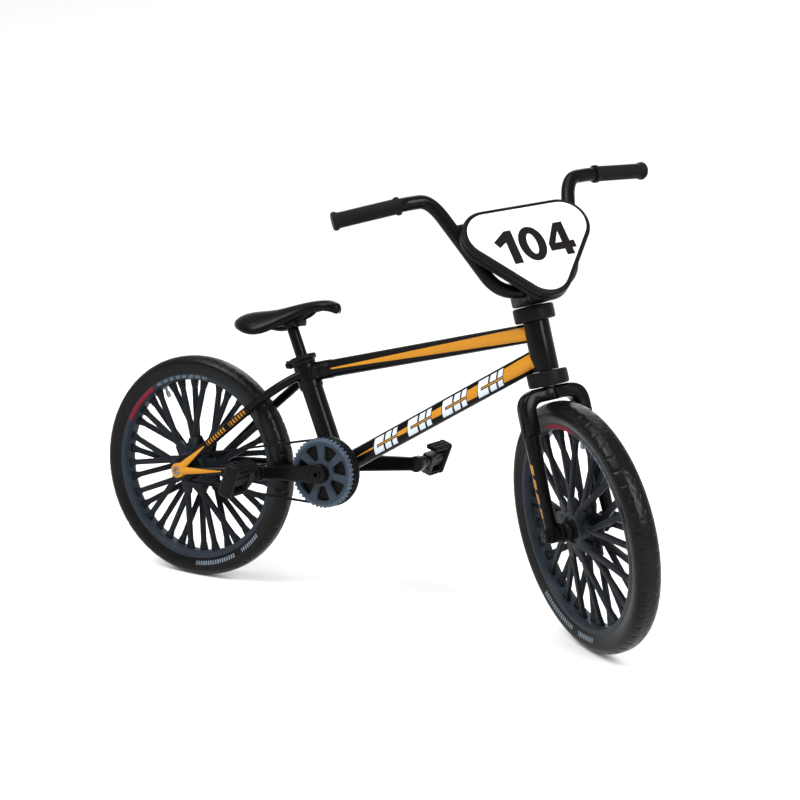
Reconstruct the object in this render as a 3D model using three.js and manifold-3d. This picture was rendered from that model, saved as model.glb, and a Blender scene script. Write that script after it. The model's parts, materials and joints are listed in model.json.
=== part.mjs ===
// A finger-size BMX race bike, about a tenth of full size, in millimetres.
// X runs forwards, Y to the rider's left, Z up. The origin is the rear tyre's contact with the ground.
import * as THREE from "three";
import { mergeVertices } from "three/addons/utils/BufferGeometryUtils.js";
import Module from "manifold-3d";

const wasm = await Module();
wasm.setup();

// Driving dimensions
const WHEEL_R = 25; // tyre, over the tread
const WHEELBASE = 92.5;
const HEAD_ANGLE = 73.5; // degrees between the steering axis and the ground
const RAKE = 0.8; // the front axle's distance ahead of the steering axis
const STEER_REST = -40.75; // degrees, turned towards the rider's right
const FORK_DROP = 0.166; // keeps the leaning, turned front tyre on the ground
const GAP = 0.06; // clearance between pieces that touch
const RUNNING = 0.1; // radial clearance of a turning fit

const BB = new THREE.Vector3(36.8, 0, 29.1);
const REAR_AXLE = new THREE.Vector3(0, 0, WHEEL_R);
const SEAT_ANGLE = 66.3; // degrees between the seat tube and the ground
const CRANK_LENGTH = 14.8;
const CRANK_ANGLE = 6.3; // degrees that the forward arm points up

const TYRE = { inner: 21.1, half: 2.6, crown: 0.9, facets: 48 };
const RIM = { inner: 19.6, outer: 21.04, half: 1.95 };
// Each side's stems leave the hub flange at a slant, one side's leaning one way and the other's the other, and
// each splits in two before the rim. Angles are degrees from the middle of a near and far pair of stems.
const SPOKES = { pairs: 9, root_r: 3.1, root_lag: 42, split_r: 14.2, split_lead: 7.5, tips: [5, 15] };
const SPOKE_SIZE = { stem: 1.35, branch: 1.05, thick: 0.8 };
const SPOKE_PHASE = { rear: 20, front: 20 };
const VALVE_ANGLE = { rear: 120, front: 70 };
const FRONT_FLANGE_Y = 2.4;
const REAR_FLANGE_Y = 3.4;
const FLANGE_R = 3.2;

const SPROCKET_R = 7.4;
const WINDOWS = { count: 7, from_axis: 4.7, r: 1.45 };
const DRUM_R = 6.7;
const COG_R = 2.4;
const CHAIN = { y: -5.2, half: 0.4, side_gap: 0.1, thick: 0.5 };

const BAR_R = 1.37;
const BAR_LEAN = 18; // degrees that the bars lean back from the steering axis
const CLAMP = { forward: 3.5, height: 46.9 }; // bar centre, in the steering frame
const CROSSBAR_RISE = 14.8;
const PLATE_LEAN = 24.4;
const PLATE_AT = { forward: 7.06, height: 54 };
const PLATE_DEPTH = 1.5;

const colour = (hex, roughness, metalness = 0) =>
  new THREE.MeshStandardMaterial({ color: hex, roughness, metalness });
const BLACK = colour(0x0c0c0e, 0.22, 0.1);
const GOLD = colour(0xd9932a, 0.35, 0.2);
const RUBBER = colour(0x141414, 0.75);
const BLUE_GREY = colour(0x2f363e, 0.4, 0.1);
const SPROCKET_GREY = colour(0x46525e, 0.4, 0.2);
const SATIN = colour(0x111112, 0.55);
const WHITE = colour(0xe8f2fb, 0.5);
const STEEL = colour(0x6a6a6c, 0.35, 0.9);

const rad = THREE.MathUtils.degToRad;
const at = (x, y, z) => new THREE.Vector3(x, y, z);
const points = (...places) => places.map((p) => at(...p));

// A closed geometry as a solid, turned the right way out.
function solid(geometry) {
  const bare = geometry.clone();
  bare.deleteAttribute("normal");
  bare.deleteAttribute("uv");
  const merged = mergeVertices(bare, 1e-4);
  const triVerts = new Uint32Array(merged.index.array);
  const vertProperties = merged.attributes.position.array;
  const made = new wasm.Manifold(new wasm.Mesh({ numProp: 3, vertProperties, triVerts }));
  if (made.volume() > 0) return made;
  for (let i = 0; i < triVerts.length; i += 3) {
    [triVerts[i + 1], triVerts[i + 2]] = [triVerts[i + 2], triVerts[i + 1]];
  }
  return new wasm.Manifold(new wasm.Mesh({ numProp: 3, vertProperties, triVerts }));
}

function geometryOf(made) {
  const { numProp, numVert, vertProperties, triVerts } = made.getMesh();
  const points = new Float32Array(numVert * 3);
  for (let i = 0; i < numVert; i++) {
    points.set(vertProperties.subarray(i * numProp, i * numProp + 3), i * 3);
  }
  return new THREE.BufferGeometry()
    .setAttribute("position", new THREE.BufferAttribute(points, 3))
    .setIndex(new THREE.BufferAttribute(triVerts, 1));
}

const join = (first, ...rest) => rest.reduce((sum, next) => sum.add(next), first);
const cut = (first, ...rest) => rest.reduce((left, next) => left.subtract(next), first);

// A straight round rod, or a cone, between two points.
function rod(from, to, r, rEnd = r, sides = 16) {
  const along = to.clone().sub(from);
  const cylinder = new THREE.CylinderGeometry(rEnd, r, along.length(), sides);
  const turn = new THREE.Quaternion().setFromUnitVectors(at(0, 1, 0), along.normalize());
  cylinder.applyQuaternion(turn);
  const middle = from.clone().add(to).multiplyScalar(0.5);
  return solid(cylinder.translate(middle.x, middle.y, middle.z));
}

// A disc or short cylinder across the bike, between two places on Y.
const disc = (x, z, y0, y1, r, sides = 24) => rod(at(x, y0, z), at(x, y1, z), r, r, sides);

// A ring turned about Y from its closed profile of [radius, y] points.
function turned(profile, sides, startDegrees = 0) {
  const points = [...profile, profile[0]].map(([r, y]) => new THREE.Vector2(r, y));
  return solid(new THREE.LatheGeometry(points, sides, rad(startDegrees)));
}

function box(x, y, z, sx, sy, sz) {
  return solid(new THREE.BoxGeometry(sx, sy, sz).translate(x, y, z));
}

// A round tube swept along a curve.
function swept(curve, r, steps, sides = 8) {
  const section = new THREE.Shape().absarc(0, 0, r, 0, 2 * Math.PI);
  const points = section.getSpacedPoints(sides).slice(0, sides);
  return solid(
    new THREE.ExtrudeGeometry(new THREE.Shape(points), { steps, extrudePath: curve, bevelEnabled: false }),
  );
}

// An outline drawn in X and Z, made solid between two places on Y.
function slabXZ(shape, y0, y1, curveSegments = 8) {
  const slab = new THREE.ExtrudeGeometry(shape, { depth: y1 - y0, bevelEnabled: false, curveSegments });
  return solid(slab.rotateX(Math.PI / 2).translate(0, y1, 0));
}

// The outline round several circles, each [x, y, r], listed anticlockwise, as if a belt ran round them.
function beltShape(circles) {
  const shape = new THREE.Shape();
  const leave = circles.map(([x, y, r], i) => {
    const [nx, ny, nr] = circles[(i + 1) % circles.length];
    const apart = Math.hypot(nx - x, ny - y);
    return Math.atan2(ny - y, nx - x) - Math.acos((r - nr) / apart);
  });
  circles.forEach(([x, y, r], i) => {
    const start = leave[(i + circles.length - 1) % circles.length];
    const turn = (((leave[i] - start) % (2 * Math.PI)) + 2 * Math.PI) % (2 * Math.PI);
    shape.absarc(x, y, r, start, start + turn, false);
  });
  return shape;
}

// A curve of straight runs joined by round corners; each corner starts `ease` from its point.
function bentPath(points, ease) {
  const path = new THREE.CurvePath();
  let from = points[0];
  for (let i = 1; i < points.length - 1; i++) {
    const corner = points[i];
    const into = corner.clone().lerp(points[i - 1], ease[i - 1] / corner.distanceTo(points[i - 1]));
    const out = corner.clone().lerp(points[i + 1], ease[i - 1] / corner.distanceTo(points[i + 1]));
    path.add(new THREE.LineCurve3(from, into));
    path.add(new THREE.QuadraticBezierCurve3(into, corner, out));
    from = out;
  }
  path.add(new THREE.LineCurve3(from, points.at(-1)));
  return path;
}

const bike = new THREE.Group();
function piece(parent, name, made, material) {
  const mesh = new THREE.Mesh(geometryOf(made), material);
  mesh.name = name;
  parent.add(mesh);
}

// The steering frame: Z up the steering axis, X forwards, its origin beside the front axle.
const lean = 90 - HEAD_ANGLE;
const frontAxle = at(WHEELBASE, 0, WHEEL_R);
const forwards = at(Math.cos(rad(lean)), 0, Math.sin(rad(lean)));
const axisUp = at(-Math.sin(rad(lean)), 0, Math.cos(rad(lean)));
const axisFoot = frontAxle.clone().addScaledVector(forwards, -RAKE);
const onAxis = (height) => axisFoot.clone().addScaledVector(axisUp, height);
const head = new THREE.Group();
head.position.copy(axisFoot);
head.rotation.y = -rad(lean);
const steering = new THREE.Group();
steering.rotation.z = rad(STEER_REST);
head.add(steering);
bike.add(head);

// Frame
const HEAD_TUBE = { low: 31, high: 40.8, r: 2.6 };
const CUP = { r: 4.05, height: 2.95 };
const STEERER_R = 1.35;
const SEAT_TUBE_R = 2.3;
const POST_R = 1.28;
const SHELL = { r: 2.9, half: 3.4 };
const seatUp = at(-Math.cos(rad(SEAT_ANGLE)), 0, Math.sin(rad(SEAT_ANGLE)));
const onSeatTube = (distance) => BB.clone().addScaledVector(seatUp, distance);
const SEAT_TUBE_TOP = 23.2;
const COLLAR = { low: 23.3, high: 25.2, r: 2.95 };

function addFrame() {
  const bore = rod(onAxis(20), onAxis(50), STEERER_R + RUNNING);
  const headTube = rod(onAxis(HEAD_TUBE.low), onAxis(HEAD_TUBE.high), HEAD_TUBE.r, HEAD_TUBE.r, 24);
  const headSpace = rod(onAxis(20), onAxis(50), HEAD_TUBE.r + GAP, HEAD_TUBE.r + GAP, 24);
  piece(bike, "head_tube", cut(headTube, bore), BLACK);
  const cup = (name, low) => {
    const ring = rod(onAxis(low), onAxis(low + CUP.height), CUP.r, CUP.r, 24);
    piece(bike, name, cut(ring, bore), SATIN);
  };
  cup("lower_headset_cup", HEAD_TUBE.low - GAP - CUP.height);
  cup("upper_headset_cup", HEAD_TUBE.high + GAP);

  const shell = disc(BB.x, BB.z, -SHELL.half, SHELL.half, SHELL.r);
  const shellSpace = disc(BB.x, BB.z, -9, 9, SHELL.r + GAP);
  const spindleBore = disc(BB.x, BB.z, -9, 9, 1.5, 16);
  piece(bike, "bottom_bracket_shell", cut(shell, spindleBore), BLACK);

  const seatTube = rod(BB, onSeatTube(SEAT_TUBE_TOP), SEAT_TUBE_R, SEAT_TUBE_R, 20);
  const seatSpace = rod(BB, onSeatTube(SEAT_TUBE_TOP + 5), SEAT_TUBE_R + GAP, SEAT_TUBE_R + GAP, 20);
  const postBore = rod(onSeatTube(5), onSeatTube(SEAT_TUBE_TOP + 5), POST_R + RUNNING);
  piece(bike, "seat_tube", cut(seatTube, shellSpace, postBore), BLACK);

  const topTube = rod(onSeatTube(21.5), onAxis(38.7), 1.9, 1.9, 20);
  piece(bike, "top_tube", cut(topTube, seatSpace, headSpace), BLACK);
  const downTube = rod(BB, onAxis(33.9), 2.05, 2.05, 20);
  const cupSpace = rod(onAxis(20), onAxis(HEAD_TUBE.low), CUP.r + GAP, CUP.r + GAP, 24);
  piece(bike, "down_tube", cut(downTube, shellSpace, seatSpace, headSpace, cupSpace), BLACK);

  for (const [side, s] of [["right", -1], ["left", 1]]) {
    const axle = at(0, 7.45 * s, WHEEL_R);
    const seatStay = points(
      [8, 6.5, 32.3], [16, 5.2, 39.5], [20.6, 4.4, 43.6], [24.4, 2.6, 46.8], [27.4, 1, 48.6]);
    const chainStay = points(
      [8, 6.9, 25.9], [16, 5.4, 26.8], [23, 4.1, 27.6], [28, 2.75, 28.1], [34.5, 2, 28.8]);
    const place = (p) => at(p.x, p.y * s, p.z);
    const stayFoot = (stay) => axle.clone().lerp(place(stay[0]), 0.36);
    const stay = (points) => new THREE.CatmullRomCurve3([stayFoot(points), ...points.map(place)]);
    const arm = (points) => rod(axle, axle.clone().lerp(place(points[0]), 0.35), 1.15, 0.95, 10);
    const topSpace = rod(onSeatTube(21.5), onAxis(38.7), 1.9 + GAP, 1.9 + GAP, 20);
    piece(bike, `seat_stay_${side}`, cut(swept(stay(seatStay), 0.95, 18), seatSpace, topSpace), BLACK);
    const plain = swept(stay(chainStay), 1, 18);
    piece(bike, `chain_stay_${side}`, cut(plain, shellSpace, seatSpace), BLACK);
    const eye = disc(0, WHEEL_R, 6.7 * s, 8.2 * s, 1.8, 20);
    const hole = disc(0, WHEEL_R, 5 * s, 9 * s, 0.85, 12);
    const plate = join(eye, arm(seatStay), arm(chainStay));
    piece(bike, `dropout_${side}`, cut(plate, hole), GOLD);
  }
  const bridge = rod(at(26.6, -1.9, 28), at(26.6, 1.9, 28), 0.7, 0.7, 10);
  piece(bike, "chain_stay_bridge", bridge, BLACK);
  piece(bike, "rear_axle", disc(0, WHEEL_R, -7.7, 7.7, 0.75, 12), STEEL);

  const ring = rod(onSeatTube(COLLAR.low), onSeatTube(COLLAR.high), COLLAR.r, COLLAR.r, 24);
  const earPlace = onSeatTube((COLLAR.low + COLLAR.high) / 2).add(at(-3.1, 0, -1.3));
  const ears = disc(earPlace.x, earPlace.z, -1.5, 1.5, 0.85, 12);
  piece(bike, "seat_collar", cut(join(ring, ears), postBore), SATIN);
}

// Saddle and post, which slide together in the seat tube
const SEAT_TOP = 31.8; // the post's top, measured up the seat tube's axis from the crank axle

function addSaddle() {
  piece(bike, "seat_post", rod(onSeatTube(12.5), onSeatTube(SEAT_TOP), POST_R, POST_R, 16), BLACK);
  const clampFoot = onSeatTube(SEAT_TOP + GAP);
  const clamp = disc(clampFoot.x - 0.2, clampFoot.z + 0.95, -1.9, 1.9, 0.95, 14);
  piece(bike, "saddle_clamp", clamp, BLACK);

  const plan = new THREE.Shape();
  const tail = [[9.4, 0], [10.8, 3.1], [13.4, 5.2], [16.6, 6.1], [19.6, 5.6]];
  const nose = [[22.8, 3.8], [26, 2.3], [30, 1.8], [34.4, 1.6], [36, 0]];
  const edge = (sign) => [...tail, ...nose].map(([x, y]) => new THREE.Vector2(x, y * sign));
  plan.moveTo(...tail[0]);
  plan.splineThru(edge(-1).slice(1));
  plan.splineThru(edge(1).reverse().slice(1));
  const tall = { depth: 14, bevelEnabled: false, curveSegments: 2 };
  const planSolid = solid(new THREE.ExtrudeGeometry(plan, tall));
  const side = new THREE.Shape();
  side.moveTo(9, 58.4);
  side.quadraticCurveTo(11.5, 61, 15, 61.2);
  side.quadraticCurveTo(21, 61.4, 25, 63.2);
  side.quadraticCurveTo(31, 65.4, 36.4, 64);
  side.lineTo(35.6, 62.9);
  side.quadraticCurveTo(28, 62.6, 24.4, 60.6);
  side.quadraticCurveTo(21, 57.4, 17.6, 56.7);
  side.quadraticCurveTo(12, 55.8, 9, 58.4);
  const profile = slabXZ(side, -8, 8, 4);
  const clampSpace = disc(clampFoot.x - 0.2, clampFoot.z + 0.95, -2.1, 2.1, 0.95 + GAP, 14);
  const postSpace = rod(onSeatTube(25.5), onSeatTube(SEAT_TOP + 0.1), POST_R + 0.6);
  const clampSlot = box(clampFoot.x - 0.2, 0, clampFoot.z - 1.2, 2.2, 4.2, 4.2);
  const shell = profile.intersect(solid(geometryOf(planSolid).translate(0, 0, 53)));
  piece(bike, "saddle", cut(shell, clampSpace, clampSlot, postSpace), BLACK);
}

// Wheels
function tyre() {
  const r = WHEEL_R / Math.cos(Math.PI / TYRE.facets);
  const { inner, half, crown } = TYRE;
  const side = [[inner, half - 0.5], [inner + 1.1, half], [r - 0.85, half - 0.45], [r, crown]];
  const profile = [...side, ...side.map(([x, y]) => [x, -y]).reverse()];
  return turned(profile, TYRE.facets, 180 / TYRE.facets);
}

// A moulded wheel: rim, hub and two crossing layers of splitting spokes.
function mouldedWheel(flangeY, boreR, phase) {
  const { inner, outer, half } = RIM;
  const section = [[inner, -half + 0.3], [inner, half - 0.3], [outer, half], [outer, -half]];
  const rim = turned(section, TYRE.facets, 180 / TYRE.facets);
  const parts = [rim, disc(0, 0, -flangeY, flangeY, 2, 12)];
  const place = (r, degrees, y) => at(r * Math.cos(rad(degrees)), y, r * Math.sin(rad(degrees)));
  const bar = (from, to, width) => {
    const x = to.clone().sub(from).normalize();
    const z = x.clone().cross(at(0, 1, 0)).normalize();
    const turn = new THREE.Matrix4().makeBasis(x, z.clone().cross(x), z);
    turn.setPosition(from.clone().add(to).multiplyScalar(0.5));
    const blank = new THREE.BoxGeometry(from.distanceTo(to), SPOKE_SIZE.thick, width);
    return solid(blank.applyMatrix4(turn));
  };
  for (const side of [-1, 1]) {
    parts.push(disc(0, 0, (flangeY - 0.7) * side, flangeY * side, FLANGE_R, 18));
    for (let i = 0; i < SPOKES.pairs; i++) {
      const middle = phase + (i * 360) / SPOKES.pairs;
      const hubY = (flangeY - 0.45) * side;
      const splitY = (0.55 + flangeY * 0.22) * side;
      const root = place(SPOKES.root_r, middle + SPOKES.root_lag * side, hubY);
      const split = place(SPOKES.split_r, middle - SPOKES.split_lead * side, splitY);
      parts.push(bar(root, split, SPOKE_SIZE.stem));
      for (const tip of SPOKES.tips) {
        parts.push(bar(split, place(inner + 0.6, middle - tip * side, 0.55 * side), SPOKE_SIZE.branch));
      }
    }
  }
  return cut(join(...parts), disc(0, 0, -9, 9, boreR, 12));
}

function addWheel(parent, end, flangeY, axleR, phase, valveAngle) {
  piece(parent, `${end}_tyre`, tyre(), RUBBER);
  piece(parent, `${end}_wheel`, mouldedWheel(flangeY, axleR + RUNNING, phase), BLUE_GREY);
  const toRim = at(Math.cos(rad(valveAngle)), 0, Math.sin(rad(valveAngle)));
  const tip = toRim.clone().multiplyScalar(17.4);
  const valve = rod(tip, toRim.multiplyScalar(RIM.inner - GAP), 0.4, 0.4, 8);
  piece(parent, `${end}_valve`, valve, STEEL);
}

function addWheels() {
  const rear = new THREE.Group();
  rear.position.copy(REAR_AXLE);
  bike.add(rear);
  addWheel(rear, "rear", REAR_FLANGE_Y, 0.75, SPOKE_PHASE.rear, VALVE_ANGLE.rear);
  const cog = disc(0, 0, CHAIN.y - CHAIN.half, CHAIN.y + CHAIN.half, COG_R, 18);
  const lip = disc(0, 0, CHAIN.y + CHAIN.half, -REAR_FLANGE_Y - GAP, COG_R + 0.5, 18);
  const outerLip = disc(0, 0, CHAIN.y - CHAIN.half - 0.3, CHAIN.y - CHAIN.half, COG_R + 0.5, 18);
  const boss = disc(0, 0, -6.1, CHAIN.y, 1.5, 14);
  piece(rear, "rear_cog", cut(join(cog, lip, outerLip, boss), disc(0, 0, -9, 9, 0.75 + RUNNING, 12)), SATIN);

  const front = new THREE.Group();
  front.position.set(RAKE, 0, -FORK_DROP);
  steering.add(front);
  addWheel(front, "front", FRONT_FLANGE_Y, 0.7, SPOKE_PHASE.front, VALVE_ANGLE.front);
}

// Fork, stem, bars, grips and number plate, in the steering frame
function addFork() {
  const LEG_Y = 6.4;
  const legTop = 20.4;
  const arch = new THREE.Shape();
  arch.moveTo(-7.9, legTop);
  arch.quadraticCurveTo(-7.9, 27.6, -3.2, 27.88);
  arch.lineTo(3.2, 27.88);
  arch.quadraticCurveTo(7.9, 27.6, 7.9, legTop);
  arch.lineTo(4.95, legTop);
  arch.quadraticCurveTo(4.7, 25, 2.2, 25.15);
  arch.lineTo(-2.2, 25.15);
  arch.quadraticCurveTo(-4.7, 25, -4.95, legTop);
  arch.closePath();
  const crown = new THREE.ExtrudeGeometry(arch, { depth: 3, bevelEnabled: false, curveSegments: 6 });
  crown.translate(0, 0, -1.5).rotateX(Math.PI / 2).rotateZ(Math.PI / 2);
  const steererSpace = rod(at(0, 0, 25.9), at(0, 0, 60), STEERER_R + GAP);
  piece(steering, "fork_crown", cut(solid(crown), steererSpace), BLACK);
  piece(steering, "steerer", rod(at(0, 0, 26), at(0, 0, 49.1), STEERER_R), STEEL);
  const axleSpace = disc(RAKE, -FORK_DROP, -9, 9, 0.7 + GAP, 12);
  for (const [side, s] of [["right", -1], ["left", 1]]) {
    const leg = rod(at(0, LEG_Y * s, legTop - GAP), at(RAKE, LEG_Y * s, -1.9), 1.46, 1.15, 16);
    const tip = disc(RAKE, -FORK_DROP, (LEG_Y - 1) * s, (LEG_Y + 1.1) * s, 1.6, 16);
    piece(steering, `fork_leg_${side}`, cut(join(leg, tip), axleSpace), BLACK);
    const boss = disc(RAKE, -FORK_DROP, (FRONT_FLANGE_Y + 0.12) * s, (LEG_Y - 1.25) * s, 2.5, 20);
    piece(steering, `front_hub_spacer_${side}`, cut(boss, axleSpace), SATIN);
    const nut = disc(RAKE, -FORK_DROP, (LEG_Y + 1.17) * s, (LEG_Y + 2) * s, 1.25, 6);
    piece(steering, `front_axle_nut_${side}`, cut(nut, axleSpace), SATIN);
  }
  piece(steering, "front_axle", disc(RAKE, -FORK_DROP, -8.5, 8.5, 0.7, 12), STEEL);
}

const barUp = at(-Math.sin(rad(BAR_LEAN)), 0, Math.cos(rad(BAR_LEAN)));
const onBars = (y, rise) => at(CLAMP.forward, y, CLAMP.height).addScaledVector(barUp, rise);
const GRIP = { start: 21.4, end: 34.4, r: 1.6, flange: 1.85 };
const BAR_TOP = 22;
const BAR_STEPS = 44;
// Where the bars' ends start to sweep back, and by how much for each millimetre outwards
const SWEEP = { from: 20, back: 0.2, down: 0.045 };
const sweptBack = (y) =>
  onBars(y, BAR_TOP).add(at(-SWEEP.back * (y - SWEEP.from), 0, -SWEEP.down * (y - SWEEP.from)));

function addBars() {
  const rise = [onBars(7.9, 0), onBars(15.1, BAR_TOP)];
  const left = [...rise, onBars(SWEEP.from, BAR_TOP), sweptBack(GRIP.end - 0.4)];
  const right = left.map((p) => at(p.x, -p.y, p.z)).reverse();
  const path = bentPath([...right, ...left], [0.8, 4, 4, 4, 4, 0.8]);
  const bar = swept(path, BAR_R, BAR_STEPS, 10);
  piece(steering, "handlebar", bar, BLACK);
  const barSpace = swept(path, BAR_R + GAP, BAR_STEPS, 10);
  const crossHalf = 12.4;
  const cross = rod(onBars(-crossHalf, CROSSBAR_RISE), onBars(crossHalf, CROSSBAR_RISE), 1, 1, 12);
  piece(steering, "crossbar", cut(cross, barSpace), BLACK);
  for (const [side, s] of [["right", -1], ["left", 1]]) {
    const from = sweptBack(GRIP.start);
    const to = sweptBack(GRIP.end);
    const place = (share) => {
      const p = from.clone().lerp(to, share);
      return at(p.x, p.y * s, p.z);
    };
    const grip = join(
      rod(place(0), place(1), GRIP.r, GRIP.r, 16),
      rod(place(0), place(0.07), GRIP.flange, GRIP.flange, 16),
      rod(place(0.93), place(1), GRIP.flange, GRIP.flange, 16),
    );
    const bore = rod(place(-0.1), place(1.2), BAR_R + GAP, BAR_R + GAP, 12);
    piece(steering, `grip_${side}`, cut(grip, bore), RUBBER);
  }

  const { forward, height } = CLAMP;
  const steererSpace = rod(at(0, 0, 20), at(0, 0, 60), STEERER_R + GAP);
  const block = box((forward - 3.2) / 2, 0, 46.6, forward + 3, 6.1, 5.2);
  piece(steering, "stem", cut(block, steererSpace, barSpace), SATIN);
  const cap = box(forward + 1.1, 0, 46.75, 1.9, 6.1, 4.6);
  piece(steering, "stem_faceplate", cut(cap, barSpace), SATIN);
  piece(steering, "headset_top_cap", rod(at(0, 0, 49.27), at(0, 0, 49.9), 1.7), SATIN);
}

function addNumberPlate() {
  const plate = new THREE.Group();
  plate.position.set(PLATE_AT.forward, 0, PLATE_AT.height);
  plate.rotation.y = -rad(PLATE_LEAN);
  steering.add(plate);
  const outline = (grow) =>
    beltShape([[0, -4.69, 4.47 + grow], [7.84, 4.83, 4.62 + grow], [-7.84, 4.83, 4.62 + grow]]);
  // The outline is drawn with X across the bike and Y up, then stood up to face forwards.
  const stand = (shape, depth, front) => {
    const slab = new THREE.ExtrudeGeometry(shape, { depth, bevelEnabled: false, curveSegments: 8 });
    return solid(slab.rotateX(Math.PI / 2).rotateZ(Math.PI / 2).translate(front - depth, 0, 0));
  };
  piece(plate, "number_plate_back", stand(outline(0.95), PLATE_DEPTH, -0.25), BLACK);
  piece(plate, "number_plate_face", stand(outline(0), 0.19, 0), WHITE);

  const crossSpace = rod(onBars(-20, CROSSBAR_RISE), onBars(20, CROSSBAR_RISE), 1 + GAP, 1 + GAP, 12);
  const plateSpace = solid(geometryOf(stand(outline(1.2), 6, 4.19))
    .rotateY(-rad(PLATE_LEAN))
    .translate(PLATE_AT.forward, 0, PLATE_AT.height));
  const middle = onBars(0, CROSSBAR_RISE);
  for (const [side, s] of [["right", -1], ["left", 1]]) {
    const block = box(middle.x + 1.6, 4.6 * s, middle.z, 5.4, 2, 2.6);
    const slot = box(middle.x - 1.6, 4.6 * s, middle.z, 1.9, 4, 1.2);
    piece(steering, `plate_clip_${side}`, cut(block, crossSpace, plateSpace, slot), SATIN);
  }
}

// Cranks, sprocket, pedals and chain
function addDrivetrain() {
  piece(bike, "crank_spindle", disc(BB.x, BB.z, -7.6, 7.6, 1.35, 14), STEEL);
  const spindleSpace = disc(BB.x, BB.z, -9, 9, 1.35 + GAP, 14);
  const drum = join(
    disc(BB.x, BB.z, -6.04, -3.7, DRUM_R, 32),
    disc(BB.x, BB.z, CHAIN.y + CHAIN.half, -3.7, SPROCKET_R + 0.1, 32),
  );
  piece(bike, "chain_drum", cut(drum, spindleSpace), SATIN);
  const windows = Array.from({ length: WINDOWS.count }, (_, i) => {
    const angle = rad(((i + 0.5) * 360) / WINDOWS.count);
    const { from_axis, r } = WINDOWS;
    return disc(BB.x + from_axis * Math.cos(angle), BB.z + from_axis * Math.sin(angle), -8, -5, r, 10);
  });
  const face = disc(BB.x, BB.z, -7, -6.1, SPROCKET_R, 36);
  piece(bike, "sprocket", cut(face, spindleSpace, ...windows), SPROCKET_GREY);

  for (const [side, s] of [["right", -1], ["left", 1]]) {
    const angle = rad(CRANK_ANGLE) + (s < 0 ? Math.PI : 0);
    const endX = BB.x + CRANK_LENGTH * Math.cos(angle);
    const endZ = BB.z + CRANK_LENGTH * Math.sin(angle);
    const inner = s < 0 ? 7.07 : 6.9;
    const y = (d) => [d * s, (d + 1.9) * s].sort((a, b) => a - b);
    const outline = beltShape([[BB.x, BB.z, 1.95], [endX, endZ, 1.25]]);
    const [y0, y1] = y(inner);
    const axleSpace = disc(endX, endZ, inner * s - s, 12 * s, 0.5 + GAP, 10);
    const arm = join(slabXZ(outline, y0, y1, 8), disc(endX, endZ, y0, y1, 1.5, 16));
    piece(bike, `crank_arm_${side}`, cut(arm, spindleSpace, axleSpace), BLACK);
    piece(bike, `crank_bolt_${side}`, disc(BB.x, BB.z, 7.66 * s, 9.2 * s, 1.1, 12), STEEL);
    piece(bike, `pedal_axle_${side}`, disc(endX, endZ, (inner + 0.2) * s, 19.6 * s, 0.5, 10), STEEL);

    const pedal = new THREE.Group();
    pedal.position.set(endX, 0, endZ);
    pedal.rotation.y = rad(18.6);
    bike.add(pedal);
    const bodyBox = box(0, 15.95 * s, 0, 2.6, 8.1, 6.8);
    const collar = disc(0, 0, (inner + 2.2) * s, 12 * s, 1.05, 12);
    const bore = disc(0, 0, 2 * s, 25 * s, 0.5 + RUNNING, 10);
    piece(pedal, `pedal_${side}`, cut(join(bodyBox, collar), bore), SATIN);
  }

  const lift = CHAIN.thick;
  const loop = (grow) =>
    beltShape([[0, WHEEL_R, COG_R + RUNNING + grow], [BB.x, BB.z, DRUM_R + RUNNING + grow]]);
  const band = loop(lift);
  band.holes.push(loop(0));
  const half = CHAIN.half - CHAIN.side_gap;
  piece(bike, "chain", slabXZ(band, CHAIN.y - half, CHAIN.y + half, 12), STEEL);
}

addFrame();
addSaddle();
addWheels();
addFork();
addBars();
addNumberPlate();
addDrivetrain();

export default bike;
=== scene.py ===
"""The visible surfaces of a finger-size BMX race bicycle, built round its frame of solids.

Shapes are drawn in millimetres, in the bicycle's own directions: X forwards, Y to the rider's left, Z up.
"""

import json
import math

import bmesh
import bpy
from bpy.props import FloatProperty, FloatVectorProperty, IntProperty, PointerProperty
from bpy.types import Operator, Panel, PropertyGroup
from mathutils import Matrix, Vector


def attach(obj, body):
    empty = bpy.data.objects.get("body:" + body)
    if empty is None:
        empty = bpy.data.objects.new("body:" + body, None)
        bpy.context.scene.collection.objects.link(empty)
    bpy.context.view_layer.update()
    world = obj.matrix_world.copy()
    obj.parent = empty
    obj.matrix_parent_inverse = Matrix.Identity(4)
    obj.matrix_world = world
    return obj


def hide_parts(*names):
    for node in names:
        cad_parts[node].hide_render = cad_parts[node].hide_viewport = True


bl_info = {
    "name": "Finger BMX bicycle",
    "version": (1, 0, 0),
    "blender": (4, 5, 0),
    "location": "View3D > Sidebar > BMX",
    "description": "Builds the visible surfaces of a finger-size BMX race bicycle",
    "category": "Add Mesh",
}

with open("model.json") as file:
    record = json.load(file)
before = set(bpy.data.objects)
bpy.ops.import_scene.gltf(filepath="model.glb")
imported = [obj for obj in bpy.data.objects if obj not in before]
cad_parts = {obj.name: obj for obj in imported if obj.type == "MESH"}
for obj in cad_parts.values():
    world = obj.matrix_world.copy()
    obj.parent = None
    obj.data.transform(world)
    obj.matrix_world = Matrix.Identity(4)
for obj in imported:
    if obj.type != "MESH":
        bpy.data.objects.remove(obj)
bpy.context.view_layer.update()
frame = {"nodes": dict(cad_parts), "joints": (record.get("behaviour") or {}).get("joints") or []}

MM = 0.001
X = Vector((1, 0, 0))
Y = Vector((0, 1, 0))
Z = Vector((0, 0, 1))
SIDES = (("right", -1), ("left", 1))


def joint_line(name):
    """A joint's point, in millimetres, and its direction."""
    joint = next(j for j in frame["joints"] if j["name"] == name)
    return Vector(joint.get("pos_m", (0, 0, 0))) / MM, Vector(joint["axis"]).normalized()


def basis(x, y, z, origin=(0, 0, 0)):
    matrix = Matrix((x, y, z)).transposed().to_4x4()
    matrix.translation = origin
    return matrix


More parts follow.
